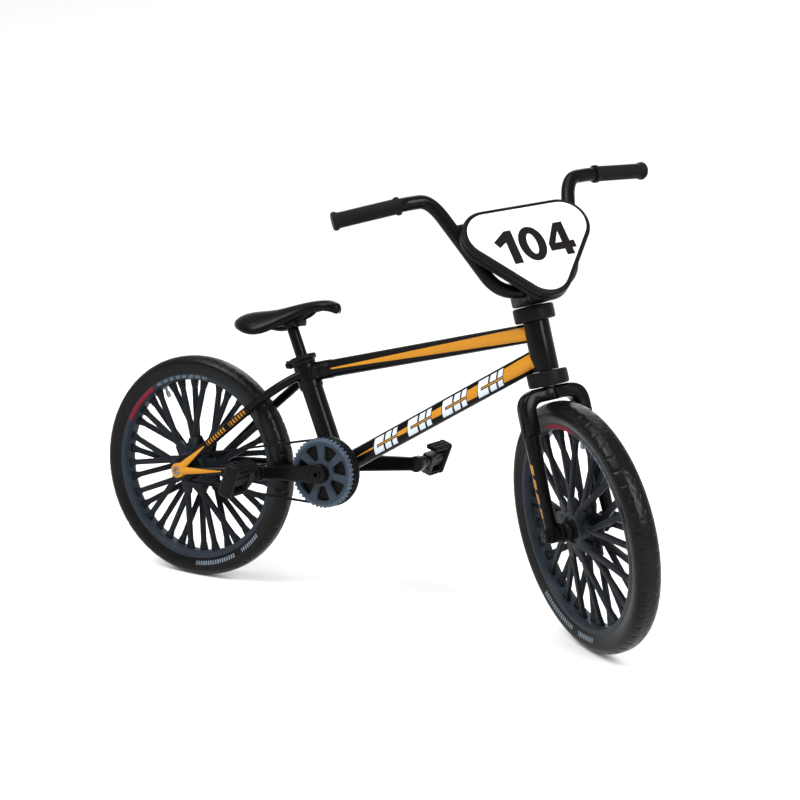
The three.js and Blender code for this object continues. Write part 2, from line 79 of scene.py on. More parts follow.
# Places that every piece is set out from
REAR_AXLE = joint_line("rear_wheel_spin")[0]
CRANK_AXLE = joint_line("crank_spin")[0]
FRONT_AXLE, FRONT_ACROSS = joint_line("front_wheel_spin")
STEER_POINT, STEER_UP = joint_line("steering")
SEAT_UP = joint_line("seat_height")[1]
PEDAL_AXLES = {side: joint_line(f"pedal_{side}_spin")[0] for side, _ in SIDES}
AXLE_DROP = 0.166  # of the front axle, below the steering frame's origin
STEER_FOOT = STEER_POINT + STEER_UP * ((FRONT_AXLE - STEER_POINT).dot(STEER_UP) + AXLE_DROP)
RAKE = (FRONT_AXLE - STEER_FOOT).dot(FRONT_ACROSS.cross(STEER_UP))
HEAD = basis(Y.cross(STEER_UP), Y, STEER_UP, STEER_FOOT)
STEER = basis(FRONT_ACROSS.cross(STEER_UP), FRONT_ACROSS, STEER_UP, STEER_FOOT)
SIDE_ON = basis(X, Z, -Y)  # drawn from the rider's right: x forwards, y up, z towards the viewer
FACE_ON = basis(Y, Z, X)  # drawn from the front: x to the rider's left, y up, z towards the viewer
REAR_WHEEL = Matrix.Translation(REAR_AXLE) @ SIDE_ON
FRONT_WHEEL = STEER @ Matrix.Translation((RAKE, 0, -AXLE_DROP)) @ SIDE_ON


def on_head(height):
    return HEAD @ Vector((0, 0, height))


def on_seat_tube(distance):
    return CRANK_AXLE + SEAT_UP * distance


# The ends of the two long tubes, and the middle of the rear wheel's dropouts
TOP_TUBE = (on_seat_tube(21.5), on_head(38.7))
DOWN_TUBE = (CRANK_AXLE, on_head(33.9))
DROPOUT_OUT = 7.45


def rgb(name, description, default):
    return FloatVectorProperty(
        name=name, description=description, default=default, size=3, subtype="COLOR", min=0, max=1
    )


def length(name, description, default):
    """A length property, in millimetres."""
    return FloatProperty(name=name, description=description, default=default, min=0)


def degrees(name, description, default):
    return FloatProperty(name=name, description=description, default=math.radians(default), subtype="ANGLE")


class BmxColours(PropertyGroup):
    """Colours of the finishes."""

    black: rgb("Black paint", "Glossy paint of the frame and bars", (0.0022, 0.0022, 0.0024))
    gold: rgb("Gold paint", "Stripes, wedges and dropouts", (0.4, 0.172, 0.016))
    white: rgb("White print", "Blocks on the down tube", (0.5, 0.55, 0.61))
    plate: rgb("Plate face", "The number plate's printed face", (0.6, 0.645, 0.7))
    numeral: rgb("Numerals", "The race number", (0.006, 0.0045, 0.0045))
    moulding: rgb("Black plastic", "Cups, stem, pedals and hub bosses", (0.0032, 0.0032, 0.0034))
    rubber: rgb("Tyre rubber", "Tyres and grips", (0.0028, 0.0028, 0.003))
    wheel: rgb("Wheel plastic", "Spokes and hubs", (0.006, 0.0078, 0.0105))
    # Painted highlight: the rims' sides and hub flanges are the same moulding as the spokes, given this paler colour as
    # if lit.
    rim: rgb("Rim painted highlight", "Sides of the rims and hub flanges", (0.019, 0.0255, 0.033))
    sprocket: rgb("Sprocket plastic", "Sprocket disc", (0.024, 0.034, 0.047))
    mark: rgb("Grey marks", "Marks round the tyres and rims", (0.15, 0.19, 0.23))
    red: rgb("Red arcs", "Printed arcs on the rims", (0.13, 0.007, 0.016))
    steel: rgb("Bare steel", "Axles, bolts and valves", (0.2, 0.2, 0.21))
    floor: rgb("Floor", "The pale floor", (0.86, 0.86, 0.86))


class BmxSizes(PropertyGroup):
    """Sizes in millimetres."""

    tyre_radius: length("Tyre radius", "Over the tread", 25.0)
    rim_outer: length("Rim radius", "Where the rim meets the tyre", 21.0)
    rim_inner: length("Rim inner radius", "Where the spokes end", 19.55)
    bar_radius: length("Bar radius", "Of the handlebar", 1.37)
    head_radius: length("Head tube radius", "Of the head tube", 2.6)
    top_radius: length("Top tube radius", "Of the top tube", 1.9)
    down_radius: length("Down tube radius", "Of the down tube", 2.05)
    seat_radius: length("Seat tube radius", "Of the seat tube", 2.3)
    sprocket_radius: length("Sprocket radius", "Over the teeth", 7.4)
    sprocket_teeth: IntProperty(name="Teeth", description="Serrations round the sprocket", default=46, min=12)
    tread_pitches: IntProperty(name="Tread pitches", description="Rows of cuts round each tyre", default=54, min=12)


class BmxView(PropertyGroup):
    """The camera's place."""

    azimuth: degrees("Azimuth", "Round from the rider's right, towards the front", 28.185)
    elevation: degrees("Elevation", "Above the horizon", 8.321)
    roll: degrees("Roll", "Turn about the line of sight", 2.35)
    distance: FloatProperty(name="Distance", description="To the target", default=0.27612, subtype="DISTANCE")
    lens: FloatProperty(name="Lens", description="Focal length in millimetres", default=60.098)
    target: FloatVectorProperty(
        name="Target", description="Point looked at", default=(0.050955, 0, 0.045298), subtype="TRANSLATION"
    )


# --- Shapes -------------------------------------------------------------------------------------


class Shape:
    """A mesh in the making, in millimetres."""

    def __init__(self):
        self.bm = bmesh.new()

    def moved(self, matrix):
        bmesh.ops.transform(self.bm, matrix=matrix, verts=self.bm.verts)
        if matrix.determinant() < 0:
            bmesh.ops.reverse_faces(self.bm, faces=self.bm.faces)
        return self

    def at(self, x=0, y=0, z=0):
        return self.moved(Matrix.Translation((x, y, z)))

    def turned(self, angle, axis="Z"):
        return self.moved(Matrix.Rotation(math.radians(angle), 4, axis))

    def add(self, *others):
        for other in others:
            mesh = bpy.data.meshes.new("joined")
            other.bm.to_mesh(mesh)
            self.bm.from_mesh(mesh)
            bpy.data.meshes.remove(mesh)
        return self

    def facing_out(self):
        bmesh.ops.recalc_face_normals(self.bm, faces=self.bm.faces)
        return self

    def rounded(self, width, segments=2, angle=40, pick=None):
        """Rounds the edges that are sharper than an angle, or those of them that pick says."""
        sharp = [e for e in self.bm.edges if len(e.link_faces) == 2 and e.calc_face_angle(0) > math.radians(angle)]
        chosen = [e for e in sharp if pick is None or pick(e)]
        bmesh.ops.bevel(
            self.bm,
            geom=chosen,
            offset=width,
            segments=segments,
            profile=0.5,
            affect="EDGES",
            clamp_overlap=True,
            material=-1,
        )
        return self

    def as_object(self, name):
        mesh = bpy.data.meshes.new(name)
        self.bm.to_mesh(mesh)
        obj = bpy.data.objects.new(name, mesh)
        bpy.context.scene.collection.objects.link(obj)
        return obj

    def boolean(self, operation, *tools):
        """This shape joined to, or cut by, the tools."""
        base = self.as_object("base")
        others = [tool.as_object("tool") for tool in tools]
        for other in others:
            modifier = base.modifiers.new("boolean", "BOOLEAN")
            modifier.object = other
            modifier.operation = operation
            modifier.solver = "EXACT"
        evaluated = base.evaluated_get(bpy.context.evaluated_depsgraph_get())
        mesh = bpy.data.meshes.new_from_object(evaluated)
        self.bm.free()
        self.bm = bmesh.new()
        self.bm.from_mesh(mesh)
        for obj in (base, *others):
            old = obj.data
            bpy.data.objects.remove(obj)
            bpy.data.meshes.remove(old)
        bpy.data.meshes.remove(mesh)
        bmesh.ops.remove_doubles(self.bm, verts=self.bm.verts, dist=1e-4)
        return self

    def union(self, *tools):
        return self.boolean("UNION", *tools)

    def minus(self, *tools):
        return self.boolean("DIFFERENCE", *tools)


def turned(profile, steps=48, closed=False):
    """A shape turned about Z from its outline of (radius, height) points."""
    shape = Shape()
    bm = shape.bm
    verts = [bm.verts.new((radius, 0, height)) for radius, height in profile]
    ends = verts[1:] + verts[:1] if closed else verts[1:]
    edges = [bm.edges.new(pair) for pair in zip(verts, ends)]
    bmesh.ops.spin(
        bm, geom=verts + edges, cent=(0, 0, 0), axis=(0, 0, 1), angle=math.tau, steps=steps, use_merge=True
    )
    bmesh.ops.remove_doubles(bm, verts=bm.verts, dist=1e-4)
    return shape.facing_out()


def eased(points, reach, closed=False, cuts=4):
    """The line of points with each corner rounded, starting `reach` before the corner."""
    line = [Vector(p) for p in points]
    last = len(line) - 1
    out = []
    for i, corner in enumerate(line):
        if not closed and i in (0, last):
            out.append(corner)
            continue
        before = line[i - 1] - corner
        after = line[(i + 1) % len(line)] - corner
        start = corner + before.normalized() * min(reach, before.length * 0.48)
        end = corner + after.normalized() * min(reach, after.length * 0.48)
        for k in range(cuts + 1):
            t = k / cuts
            out.append(start * (1 - t) ** 2 + corner * (2 * t * (1 - t)) + end * t**2)
    return out


def disc(radius, low, high, edge=0.15, steps=48, bore=0.0):
    """A disc about Z with rounded rims, or a ring when it has a bore."""
    if bore:
        outline = [(bore, low), (radius, low), (radius, high), (bore, high)]
        return turned(eased(outline, edge, closed=True, cuts=2), steps, closed=True)
    outline = [(0, low), (radius, low), (radius, high), (0, high)]
    return turned(eased(outline, edge, cuts=3), steps)


def standing(start, end):
    """The matrix that stands Z up from start towards end."""
    along = Vector(end) - Vector(start)
    return Matrix.Translation(start) @ along.to_track_quat("Z", "Y").to_matrix().to_4x4()


def rod(start, end, radius, end_radius=None, edge=0.0, steps=32):
    """A straight round bar between two points."""
    tall = (Vector(end) - Vector(start)).length
    outline = [(0, 0), (radius, 0), (radius if end_radius is None else end_radius, tall), (0, tall)]
    return turned(eased(outline, edge, cuts=3) if edge else outline, steps).moved(standing(start, end))


def block(size, edge=0.2, segments=2):
    """A box about the origin with rounded edges."""
    shape = Shape()
    bmesh.ops.create_cube(shape.bm, size=1)
    bmesh.ops.scale(shape.bm, vec=size, verts=shape.bm.verts)
    return shape.rounded(edge, segments) if edge else shape


def slab(outline, low, high, edge=0.0, segments=2):
    """A flat piece cut to an outline, between two heights, with rounded rims."""
    shape = Shape()
    face = shape.bm.faces.new([shape.bm.verts.new((p[0], p[1], low)) for p in outline])
    grown = bmesh.ops.extrude_face_region(shape.bm, geom=[face])["geom"]
    raised = [v for v in grown if isinstance(v, bmesh.types.BMVert)]
    bmesh.ops.translate(shape.bm, vec=(0, 0, high - low), verts=raised)
    shape.facing_out()
    if edge:
        shape.rounded(edge, segments, pick=lambda e: any(abs(f.normal.z) > 0.99 for f in e.link_faces))
    return shape


def circle(radius, count=32, centre=(0, 0)):
    turns = [math.tau * i / count for i in range(count)]
    return [(centre[0] + radius * math.cos(a), centre[1] + radius * math.sin(a)) for a in turns]


def belt(circles, cuts=10):
    """The outline round circles of (x, y, radius), listed anticlockwise, as a belt runs."""
    leaving = []
    for (x, y, r), (nx, ny, nr) in zip(circles, circles[1:] + circles[:1]):
        apart = math.hypot(nx - x, ny - y)
        leaving.append(math.atan2(ny - y, nx - x) - math.acos((r - nr) / apart))
    out = []
    for i, (x, y, r) in enumerate(circles):
        sweep = (leaving[i] - leaving[i - 1]) % math.tau
        for k in range(cuts + 1):
            a = leaving[i - 1] + sweep * k / cuts
            out.append((x + r * math.cos(a), y + r * math.sin(a)))
    return out


def swept(path, radius, sides=24):
    """A round bar along a path, closed at both ends; radius is a number, or one for each point."""
    points = [Vector(p) for p in path]
    last = len(points) - 1
    radii = radius if isinstance(radius, (list, tuple)) else [radius] * len(points)
    tangents = [(points[min(i + 1, last)] - points[max(i - 1, 0)]).normalized() for i in range(len(points))]
    shape = Shape()
    bm = shape.bm
    ring = bmesh.ops.create_circle(bm, cap_ends=False, segments=sides, radius=1)["verts"]
    edges = list(bm.edges)
    turn = tangents[0].to_track_quat("Z", "Y")
    stand = Matrix.LocRotScale(points[0], turn, (radii[0],) * 3)
    bmesh.ops.transform(bm, matrix=stand, verts=ring)
    for i in range(1, len(points)):
        turn = tangents[i - 1].rotation_difference(tangents[i]) @ turn
        grown = bmesh.ops.extrude_edge_only(bm, edges=edges)["geom"]
        ring = {v for v in grown if isinstance(v, bmesh.types.BMVert)}
        edges = [e for e in grown if isinstance(e, bmesh.types.BMEdge) and set(e.verts) <= ring]
        place = Matrix.LocRotScale(points[i], turn, (radii[i],) * 3)
        bmesh.ops.transform(bm, matrix=place @ stand.inverted(), verts=list(ring))
        stand = place
    bmesh.ops.holes_fill(bm, edges=[e for e in bm.edges if e.is_boundary], sides=0)
    return shape.facing_out()


def flowing(points, per_span=8):
    """A smooth path through the points."""
    line = [Vector(p) for p in points]
    line = [line[0] * 2 - line[1], *line, line[-1] * 2 - line[-2]]
    out = []
    for a, b, c, d in zip(line, line[1:], line[2:], line[3:]):
        for k in range(per_span):
            t = k / per_span
            out.append(
                (b * 2 + (c - a) * t + (a * 2 - b * 5 + c * 4 - d) * t**2 + (b * 3 - a - c * 3 + d) * t**3) / 2
            )
    out.append(line[-2])
    return out


def piece(name, shape, finish, body, replaces=(), sharp=32):
    """Makes the shape an object with its finish, riding on a body."""
    bm = shape.bm
    bmesh.ops.scale(bm, vec=(MM, MM, MM), verts=bm.verts)
    for face in bm.faces:
        face.smooth = True
    for edge in bm.edges:
        edge.smooth = len(edge.link_faces) == 2 and edge.calc_face_angle(0) < math.radians(sharp)
    obj = shape.as_object(name)
    obj.data.materials.append(finish)
    bm.free()
    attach(obj, body)
    if replaces:
        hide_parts(*replaces)
    return obj


def refinish(node, finish):
    """Gives a solid that stays as it is a new finish."""
    mesh = frame["nodes"][node].data
    mesh.materials.clear()
    mesh.materials.append(finish)


# --- Finishes -----------------------------------------------------------------------------------


class Wire:
    """A node's output, used in sums."""

    def __init__(self, finish, socket):
        self.finish = finish
        self.socket = socket

    def sum(self, operation, *values, clamp=False):
        return self.finish.node("ShaderNodeMath", {"operation": operation, "use_clamp": clamp}, dict(enumerate(values)))

    def __add__(self, other):
        return self.sum("ADD", self, other)

    def __sub__(self, other):
        return self.sum("SUBTRACT", self, other)

    def __rsub__(self, other):
        return self.sum("SUBTRACT", other, self)

    def __mul__(self, other):
        return self.sum("MULTIPLY", self, other)

    __radd__ = __add__
    __rmul__ = __mul__

    def size(self):
        return self.sum("ABSOLUTE", self)

    def over(self, edge, soft):
        """0 below the edge, 1 above it, changing over a soft width."""
        return self.sum("MULTIPLY_ADD", self, 1 / soft, 0.5 - edge / soft, clamp=True)

    def within(self, low, high, soft):
        return self.over(low, soft) * (1 - self.over(high, soft))


class Finish:
    """A material being wired up round its Principled shader."""

    def __init__(self, name, colour, roughness, metallic=0.0, coat=0.0, shine=0.5):
        self.material = bpy.data.materials.new(name)
        self.material.use_nodes = True
        self.tree = self.material.node_tree
        self.shader = self.tree.nodes["Principled BSDF"]
        self.set("Base Color", (*colour, 1))
        self.set("Roughness", roughness)
        self.set("Metallic", metallic)
        self.set("Coat Weight", coat)
        self.set("Coat Roughness", 0.08)
        self.set("Specular IOR Level", shine)
        self.place = self.node("ShaderNodeTexCoord", output="Object")
        self.colour = (*colour, 1)

    def node(self, kind, settings=None, inputs=None, output=0):
        made = self.tree.nodes.new(kind)
        for name, value in (settings or {}).items():
            setattr(made, name, value)
        for name, value in (inputs or {}).items():
            self.connect(made.inputs[name], value)
        return Wire(self, made.outputs[output])

    def connect(self, socket, value):
        if isinstance(value, Wire):
            self.tree.links.new(value.socket, socket)
        else:
            socket.default_value = value

    def set(self, name, value):
        self.connect(self.shader.inputs[name], value)

    def mix(self, mask, under, over):
        settings = {"data_type": "RGBA"}
        return self.node("ShaderNodeMix", settings, {0: mask, 6: under, 7: over}, output=2)

    def along(self, direction, origin=(0, 0, 0)):
        """The distance in millimetres along a direction, from an origin in millimetres."""
        direction = Vector(direction)
        inputs = {0: self.place, 1: tuple(direction / MM)}
        settings = {"operation": "DOT_PRODUCT"}
        dot = self.node("ShaderNodeVectorMath", settings, inputs, output="Value")
        return dot - direction.dot(Vector(origin))

    def noise(self, size, detail=2.0):
        """Noise whose lumps are about a size in millimetres."""
        inputs = {"Vector": self.place, "Scale": 1 / (size * MM), "Detail": detail}
        return self.node("ShaderNodeTexNoise", inputs=inputs)

    def paint(self, *layers):
        """Lays (mask, colour) layers over the base colour."""
        shade = self.colour
        for mask, colour in layers:
            shade = self.mix(mask, shade, (*colour, 1) if len(colour) == 3 else colour)
        self.set("Base Color", shade)

    def rough(self, low, high, size):
        """Roughness that wanders between two values."""
        self.set("Roughness", self.noise(size, 3) * (high - low) + low)

    def bump(self, height, depth):
        """Raises the surface by a height field, as deep as some millimetres."""
        inputs = {"Strength": 1.0, "Distance": depth * MM, "Height": height}
        self.set("Normal", self.node("ShaderNodeBump", inputs=inputs))


def darker(colour, share):
    return tuple(c * share for c in colour)


def wheel_plane(finish, matrix):
    """The radius in millimetres and the turn in degrees about a wheel, and the distance out to the right."""
    origin = matrix.translation
    x = finish.along(matrix.col[0].to_3d(), origin)
    y = finish.along(matrix.col[1].to_3d(), origin)
    out = finish.along(matrix.col[2].to_3d(), origin)
    radius = (x * x + y * y).sum("SQRT", x * x + y * y)
    turn = x.sum("ARCTAN2", y, x) * math.degrees(1)
    return radius, turn, out


def stripes(value, pitch, share, soft):
    """A mask of bars that repeat every pitch and fill a share of it."""
    place = value.sum("PINGPONG", value, pitch / 2)
    return 1 - place.over(pitch / 2 * share, soft)


def tube_plane(finish, start, end):
    """The distance in millimetres along a tube of the middle plane, and the distance up across it."""
    along = Vector((end.x - start.x, 0, end.z - start.z)).normalized()
    return finish.along(along, start), finish.along((-along.z, 0, along.x), start)


def black_paint(name, colours, layers=()):
    finish = Finish(name, colours.black, 0.2, coat=0.02, shine=0.07)
    finish.rough(0.16, 0.3, 1.6)
    finish.bump(finish.noise(0.9, 2), 0.012)
    if layers:
        finish.paint(*layers(finish))
    return finish.material


def moulded_plastic(name, colour, low=0.34, high=0.5, grain=0.012, speckle=1.25, shine=0.07):
    finish = Finish(name, colour, low, shine=shine)
    finish.rough(low, high, 1.1)
    finish.paint((finish.noise(2.4, 3), darker(colour, speckle)))
    finish.bump(finish.noise(0.16, 2), grain)
    return finish.material


def bare_steel(name, colours):
    finish = Finish(name, colours.steel, 0.3, metallic=1.0)
    finish.rough(0.22, 0.42, 0.7)
    finish.paint((finish.noise(0.5, 4), darker(colours.steel, 0.55)))
    finish.bump(finish.noise(0.12, 2), 0.006)
    return finish.material


# Four groups of slanted white bars on the down tube, as distances along it
BAR_FROM = 11.3
BAR_PITCH = 9.05
BAR_END = 45.2
BARS = ((0.0, 2.5), (3.0, 4.5), (4.95, 6.1))
BAR_HALF = 1.5
BAR_SLANT = 0.52


def white_bars(u, v, grow, soft=0.06):
    """A mask of the slanted bars, each grown outwards by a margin."""
    place = u.sum("FLOORED_MODULO", u - v * BAR_SLANT - BAR_FROM + 1, BAR_PITCH) - 1
    bars = place.within(BARS[0][0] - grow, BARS[0][1] + grow, soft)
    for start, end in BARS[1:]:
        bars = bars + place.within(start - grow, end + grow, soft)
    slit = 1 - place.over(BARS[0][0] + 0.75 + grow, soft) * (1 - (v + 0.1).size().over(0.3 - grow, soft))
    stretch = (u - v * BAR_SLANT).within(BAR_FROM - 0.6, BAR_END, 0.1)
    return bars * slit * stretch * (1 - v.size().over(BAR_HALF + grow, soft))


def frame_layers(colours):
    """Gold wedges on the top and down tubes, stays and dropouts, with white bars on the down tube."""

    def layers(finish):
        far = finish.along(Y).size()
        soft = 0.06
        u, v = tube_plane(finish, *TOP_TUBE)
        half = (u - 6.5) * 0.0272 + 0.12
        top = u.within(7.2, 52.3, 0.2) * (1 - (v.size() - half).over(0, soft)) * far.over(1.0, 0.1)
        u, v = tube_plane(finish, *DOWN_TUBE)
        half = (u - 6.5) * 0.031 + 0.05
        wedge = u.within(6.6, 51.6, 0.2) * (1 - (v.size() - half).over(0, soft)) * far.over(0.9, 0.1)
        near = far.over(0.6, 0.1)
        # Only the down tube's own stretch is printed, so the masks stop at the other tubes.
        on_down = u.within(6.4, 51.7, 0.2) * (1 - v.size().over(2.3, 0.1))
        radius = wheel_plane(finish, REAR_WHEEL)[0]
        eye = (1 - radius.over(1.75, soft)) * far.over(6.75, 0.1)
        u_stay, v_stay = tube_plane(finish, REAR_AXLE, REAR_AXLE + Vector((26, 0, 23.4)))
        outside = (far + u_stay * 0.121).over(7.95, 0.15)
        upper = u_stay.within(1, 9.3, 0.2) * (1 - (v_stay.size() + u_stay * 0.1).over(1.05, soft)) * outside
        ticks = u_stay.within(10.2, 16.1, 0.1) + u_stay.within(17.2, 22.4, 0.1)
        ticks = ticks * stripes(u_stay, 0.78, 0.5, 0.15) * (1 - v_stay.size().over(0.5, 0.1)) * outside
        ticks = ticks * (finish.noise(0.45).over(0.4, 0.25) * 0.45 + 0.4)
        u_chain, v_chain = tube_plane(finish, REAR_AXLE, REAR_AXLE + Vector((30, 0, 3.1)))
        outside = (far + u_chain * 0.085).over(7.75, 0.15)
        lower = u_chain.within(1, 11.5, 0.2) * (1 - (v_chain.size() + u_chain * 0.078).over(1.0, soft)) * outside
        return (
            (top, colours.gold),
            (wedge * on_down, colours.gold),
            (white_bars(u, v, 0.2) * near * on_down, colours.black),
            (white_bars(u, v, 0) * near * on_down, colours.white),
            (eye, colours.gold),
            (upper, colours.gold),
            (lower, colours.gold),
            (ticks, colours.gold),
        )

    return layers


def fork_layers(colours):
    """Four slanted gold bars down the outside of each leg."""

    def layers(finish):
        up = finish.along(STEER.col[2].to_3d(), STEER.translation)
        forward = finish.along(STEER.col[0].to_3d(), STEER.translation)
        out = finish.along(STEER.col[1].to_3d(), STEER.translation).size()
        slanted = up + forward * 0.45
        bars = slanted.within(3.1, 14.3, 0.1) * stripes(slanted - 1.7, 2.85, 0.66, 0.1)
        notch = 1 - stripes(slanted - 0.45, 2.85, 0.16, 0.1) * forward.over(-0.1, 0.1)
        mask = bars * forward.within(-0.55, 0.85, 0.1) * notch * out.over(6.8, 0.1)
        return ((mask * 0.8, colours.gold),)

    return layers


def tyre_rubber(name, colours, matrix, ticks):
    """Satin rubber with two groups of grey ticks low on the near wall."""
    finish = Finish(name, colours.rubber, 0.28, shine=0.09)
    radius, turn, out = wheel_plane(finish, matrix)
    wall = out.size().over(1.2, 0.1)
    marks = None
    for start, end in ticks:
        group = turn.within(start, end, 0.3)
        marks = group if marks is None else marks + group
    marks = marks * stripes(turn, 1.75, 0.55, 0.25) * radius.within(21.6, 22.5, 0.08) * wall
    marks = marks * (finish.noise(0.35).over(0.4, 0.3) * 0.5 + 0.45)
    finish.paint((finish.noise(3, 3), darker(colours.rubber, 1.8)), (marks, colours.mark))
    finish.rough(0.2, 0.3, 1.3)
    finish.bump(finish.noise(0.14, 2), 0.004)
    return finish.material


def wheel_plastic(name, colours, matrix, red, grey):
    """Blue-grey moulding with a red arc and pale marks printed on the rim's side; the rim's sides and hub flanges are
    painted lighter than the spokes as a painted highlight.
    """
    finish = Finish(name, colours.wheel, 0.36, shine=0.08)
    radius, turn, out = wheel_plane(finish, matrix)
    side = out.size().over(1.0, 0.1)
    # Painted highlight: the rim's sides and the hub flanges take the paler rim colour as if lit, though they are the
    # same plastic as the spokes.
    flange = radius.within(2.75, 3.6, 0.1) * out.size().over(1.8, 0.1)
    painted_lit_rim = (radius.over(19.5, 0.1) + flange).sum("MINIMUM", radius.over(19.5, 0.1) + flange, 1)
    arc = turn.within(*red, 0.4) * radius.within(19.9, 20.8, 0.08) * side
    marks = turn.within(*grey, 0.4) * stripes(turn, 5.2, 0.7, 0.4) * radius.within(20.0, 20.75, 0.1) * side
    marks = marks * finish.noise(0.4).over(0.45, 0.3) * 0.55
    finish.paint(
        (painted_lit_rim, colours.rim),
        (finish.noise(2.2, 3) * 0.5, darker(colours.wheel, 0.6)),
        (marks, colours.mark),
        (arc, colours.red),
    )
    finish.rough(0.33, 0.5, 0.9)
    finish.bump(finish.noise(0.2, 2), 0.012)
    return finish.material


def sprocket_plastic(name, colours):
    """Blue-grey plastic, paler towards the teeth and rims."""
    finish = Finish(name, colours.sprocket, 0.42, shine=0.1)
    matrix = Matrix.Translation(CRANK_AXLE) @ SIDE_ON
    radius, turn, out = wheel_plane(finish, matrix)
    # Paler in broken patches towards the teeth and the outer rim.
    paler_teeth = radius.over(6.75, 0.25) * finish.noise(0.5, 3).over(0.42, 0.25)
    rubbed = finish.noise(1.4, 4).over(0.6, 0.2) * 0.5
    finish.paint((paler_teeth, darker(colours.sprocket, 2.6)), (rubbed, darker(colours.sprocket, 0.6)))
    finish.rough(0.35, 0.55, 0.8)
    finish.bump(finish.noise(0.25, 3), 0.015)
    return finish.material


def printed_face(name, colours):
    """The plate's smooth printed label."""
    finish = Finish(name, colours.plate, 0.35)
    finish.rough(0.3, 0.42, 3)
    finish.paint((finish.noise(6, 3) * 0.5, darker(colours.plate, 0.965)))
    finish.bump(finish.noise(1.2, 2), 0.004)
    return finish.material


def pale_floor(name, colours):
    finish = Finish(name, colours.floor, 0.6)
    finish.paint((finish.noise(60, 2) * 0.3, darker(colours.floor, 0.985)))
    return finish.material


FINISHES = {}


def make_finishes(colours):
    black = colours.black
    FINISHES["frame"] = black_paint("frame paint", colours, frame_layers(colours))
    FINISHES["fork"] = black_paint("fork paint", colours, fork_layers(colours))
    FINISHES["paint"] = black_paint("black paint", colours)
    FINISHES["moulding"] = moulded_plastic("black moulded plastic", colours.moulding)
    FINISHES["saddle"] = moulded_plastic("glossy saddle plastic", black, 0.16, 0.28, 0.01)
    FINISHES["grip"] = moulded_plastic("grip rubber", colours.rubber, 0.42, 0.6, 0.03, 1.9)
    FINISHES["chain"] = moulded_plastic("elastic chain", colours.moulding, 0.4, 0.55)
    FINISHES["rear tyre"] = tyre_rubber("rear tyre rubber", colours, REAR_WHEEL, ((-86, -57), (-51, -36)))
    FINISHES["front tyre"] = tyre_rubber("front tyre rubber", colours, FRONT_WHEEL, ((-143, -113), (-107, -92)))
    FINISHES["rear wheel"] = wheel_plastic("rear wheel plastic", colours, REAR_WHEEL, (126, 155), (80, 123))
    FINISHES["front wheel"] = wheel_plastic("front wheel plastic", colours, FRONT_WHEEL, (66, 97), (20, 58))
    FINISHES["sprocket"] = sprocket_plastic("sprocket plastic", colours)
    FINISHES["steel"] = bare_steel("bare steel", colours)
    FINISHES["plate"] = printed_face("plate print", colours)
    FINISHES["numeral"] = moulded_plastic("numeral ink", colours.numeral, 0.3, 0.4, 0.003)
    FINISHES["floor"] = pale_floor("pale floor", colours)


# --- Operators ----------------------------------------------------------------------------------


class BMX_OT_stage(Operator):
    """Sets up the camera, the floor, the lights and the finishes"""

    bl_idname = "bmx.stage"
    bl_label = "Stage"

    def execute(self, context):
        view = context.scene.bmx_view
        self.camera(context, view)
        make_finishes(context.scene.bmx_colours)
        context.scene.view_settings.view_transform = "Standard"
        # A wide flat floor whose rim sweeps up all round, so that no edge shows behind the bicycle.
        sweep = [(0, 0), (1.2, 0), (1.7, 0.03), (2.1, 0.14), (2.4, 0.36), (2.55, 0.7), (2.6, 1.2)]
        floor = turned([(p.x, p.y) for p in flowing([(r, z, 0) for r, z in sweep], 6)], 96)
        bmesh.ops.reverse_faces(floor.bm, faces=floor.bm.faces)
        for face in floor.bm.faces:
            face.smooth = True
        ground = floor.at(z=-0.00002).as_object("floor")
        ground.data.materials.append(FINISHES["floor"])
        self.lights(context)
        return {"FINISHED"}

    def camera(self, context, view):
        lens = bpy.data.cameras.new("camera")
        lens.sensor_width = 36
        lens.lens = view.lens
        lens.clip_start = 0.01
        camera = bpy.data.objects.new("camera", lens)
        context.scene.collection.objects.link(camera)
        level = Vector((math.sin(view.azimuth), -math.cos(view.azimuth), 0))
        away = level * math.cos(view.elevation) + Z * math.sin(view.elevation)
        right = Vector((math.cos(view.azimuth), math.sin(view.azimuth), 0))
        up = away.cross(right)
        rolled_right = right * math.cos(view.roll) + up * math.sin(view.roll)
        rolled_up = up * math.cos(view.roll) - right * math.sin(view.roll)
        camera.matrix_world = basis(rolled_right, rolled_up, away, Vector(view.target) + away * view.distance)
        context.scene.camera = camera

    def lights(self, context):
        world = bpy.data.worlds.new("studio")
        world.use_nodes = True
        background = world.node_tree.nodes["Background"]
        background.inputs["Color"].default_value = (1, 1, 1, 1)
        background.inputs["Strength"].default_value = 0.55
        context.scene.world = world
        # name, kind, place, size, power: a broad even light from above, and softboxes for the highlights
        lamps = (
            ("overhead", "SUN", (-0.15, -0.35, 0.8), math.radians(50), 2.2),
            ("key", "AREA", (-0.25, -0.5, 0.6), 0.15, 3.0),
            ("side", "AREA", (0.5, -0.2, 0.35), 0.14, 2.8),
            ("back", "AREA", (-0.1, 0.45, 0.5), 0.3, 1.5),
        )
        for name, kind, place, size, power in lamps:
            lamp = bpy.data.lights.new(name, kind)
            if kind == "SUN":
                lamp.angle = size
            else:
                lamp.shape = "RECTANGLE"
                lamp.size = size
                lamp.size_y = size * 2.5
            lamp.energy = power
            obj = bpy.data.objects.new(name, lamp)
            context.scene.collection.objects.link(obj)
            toward = Vector((0.045, 0, 0.045)) - Vector(place)
            obj.matrix_world = Matrix.LocRotScale(Vector(place), toward.to_track_quat("-Z", "Y"), None)


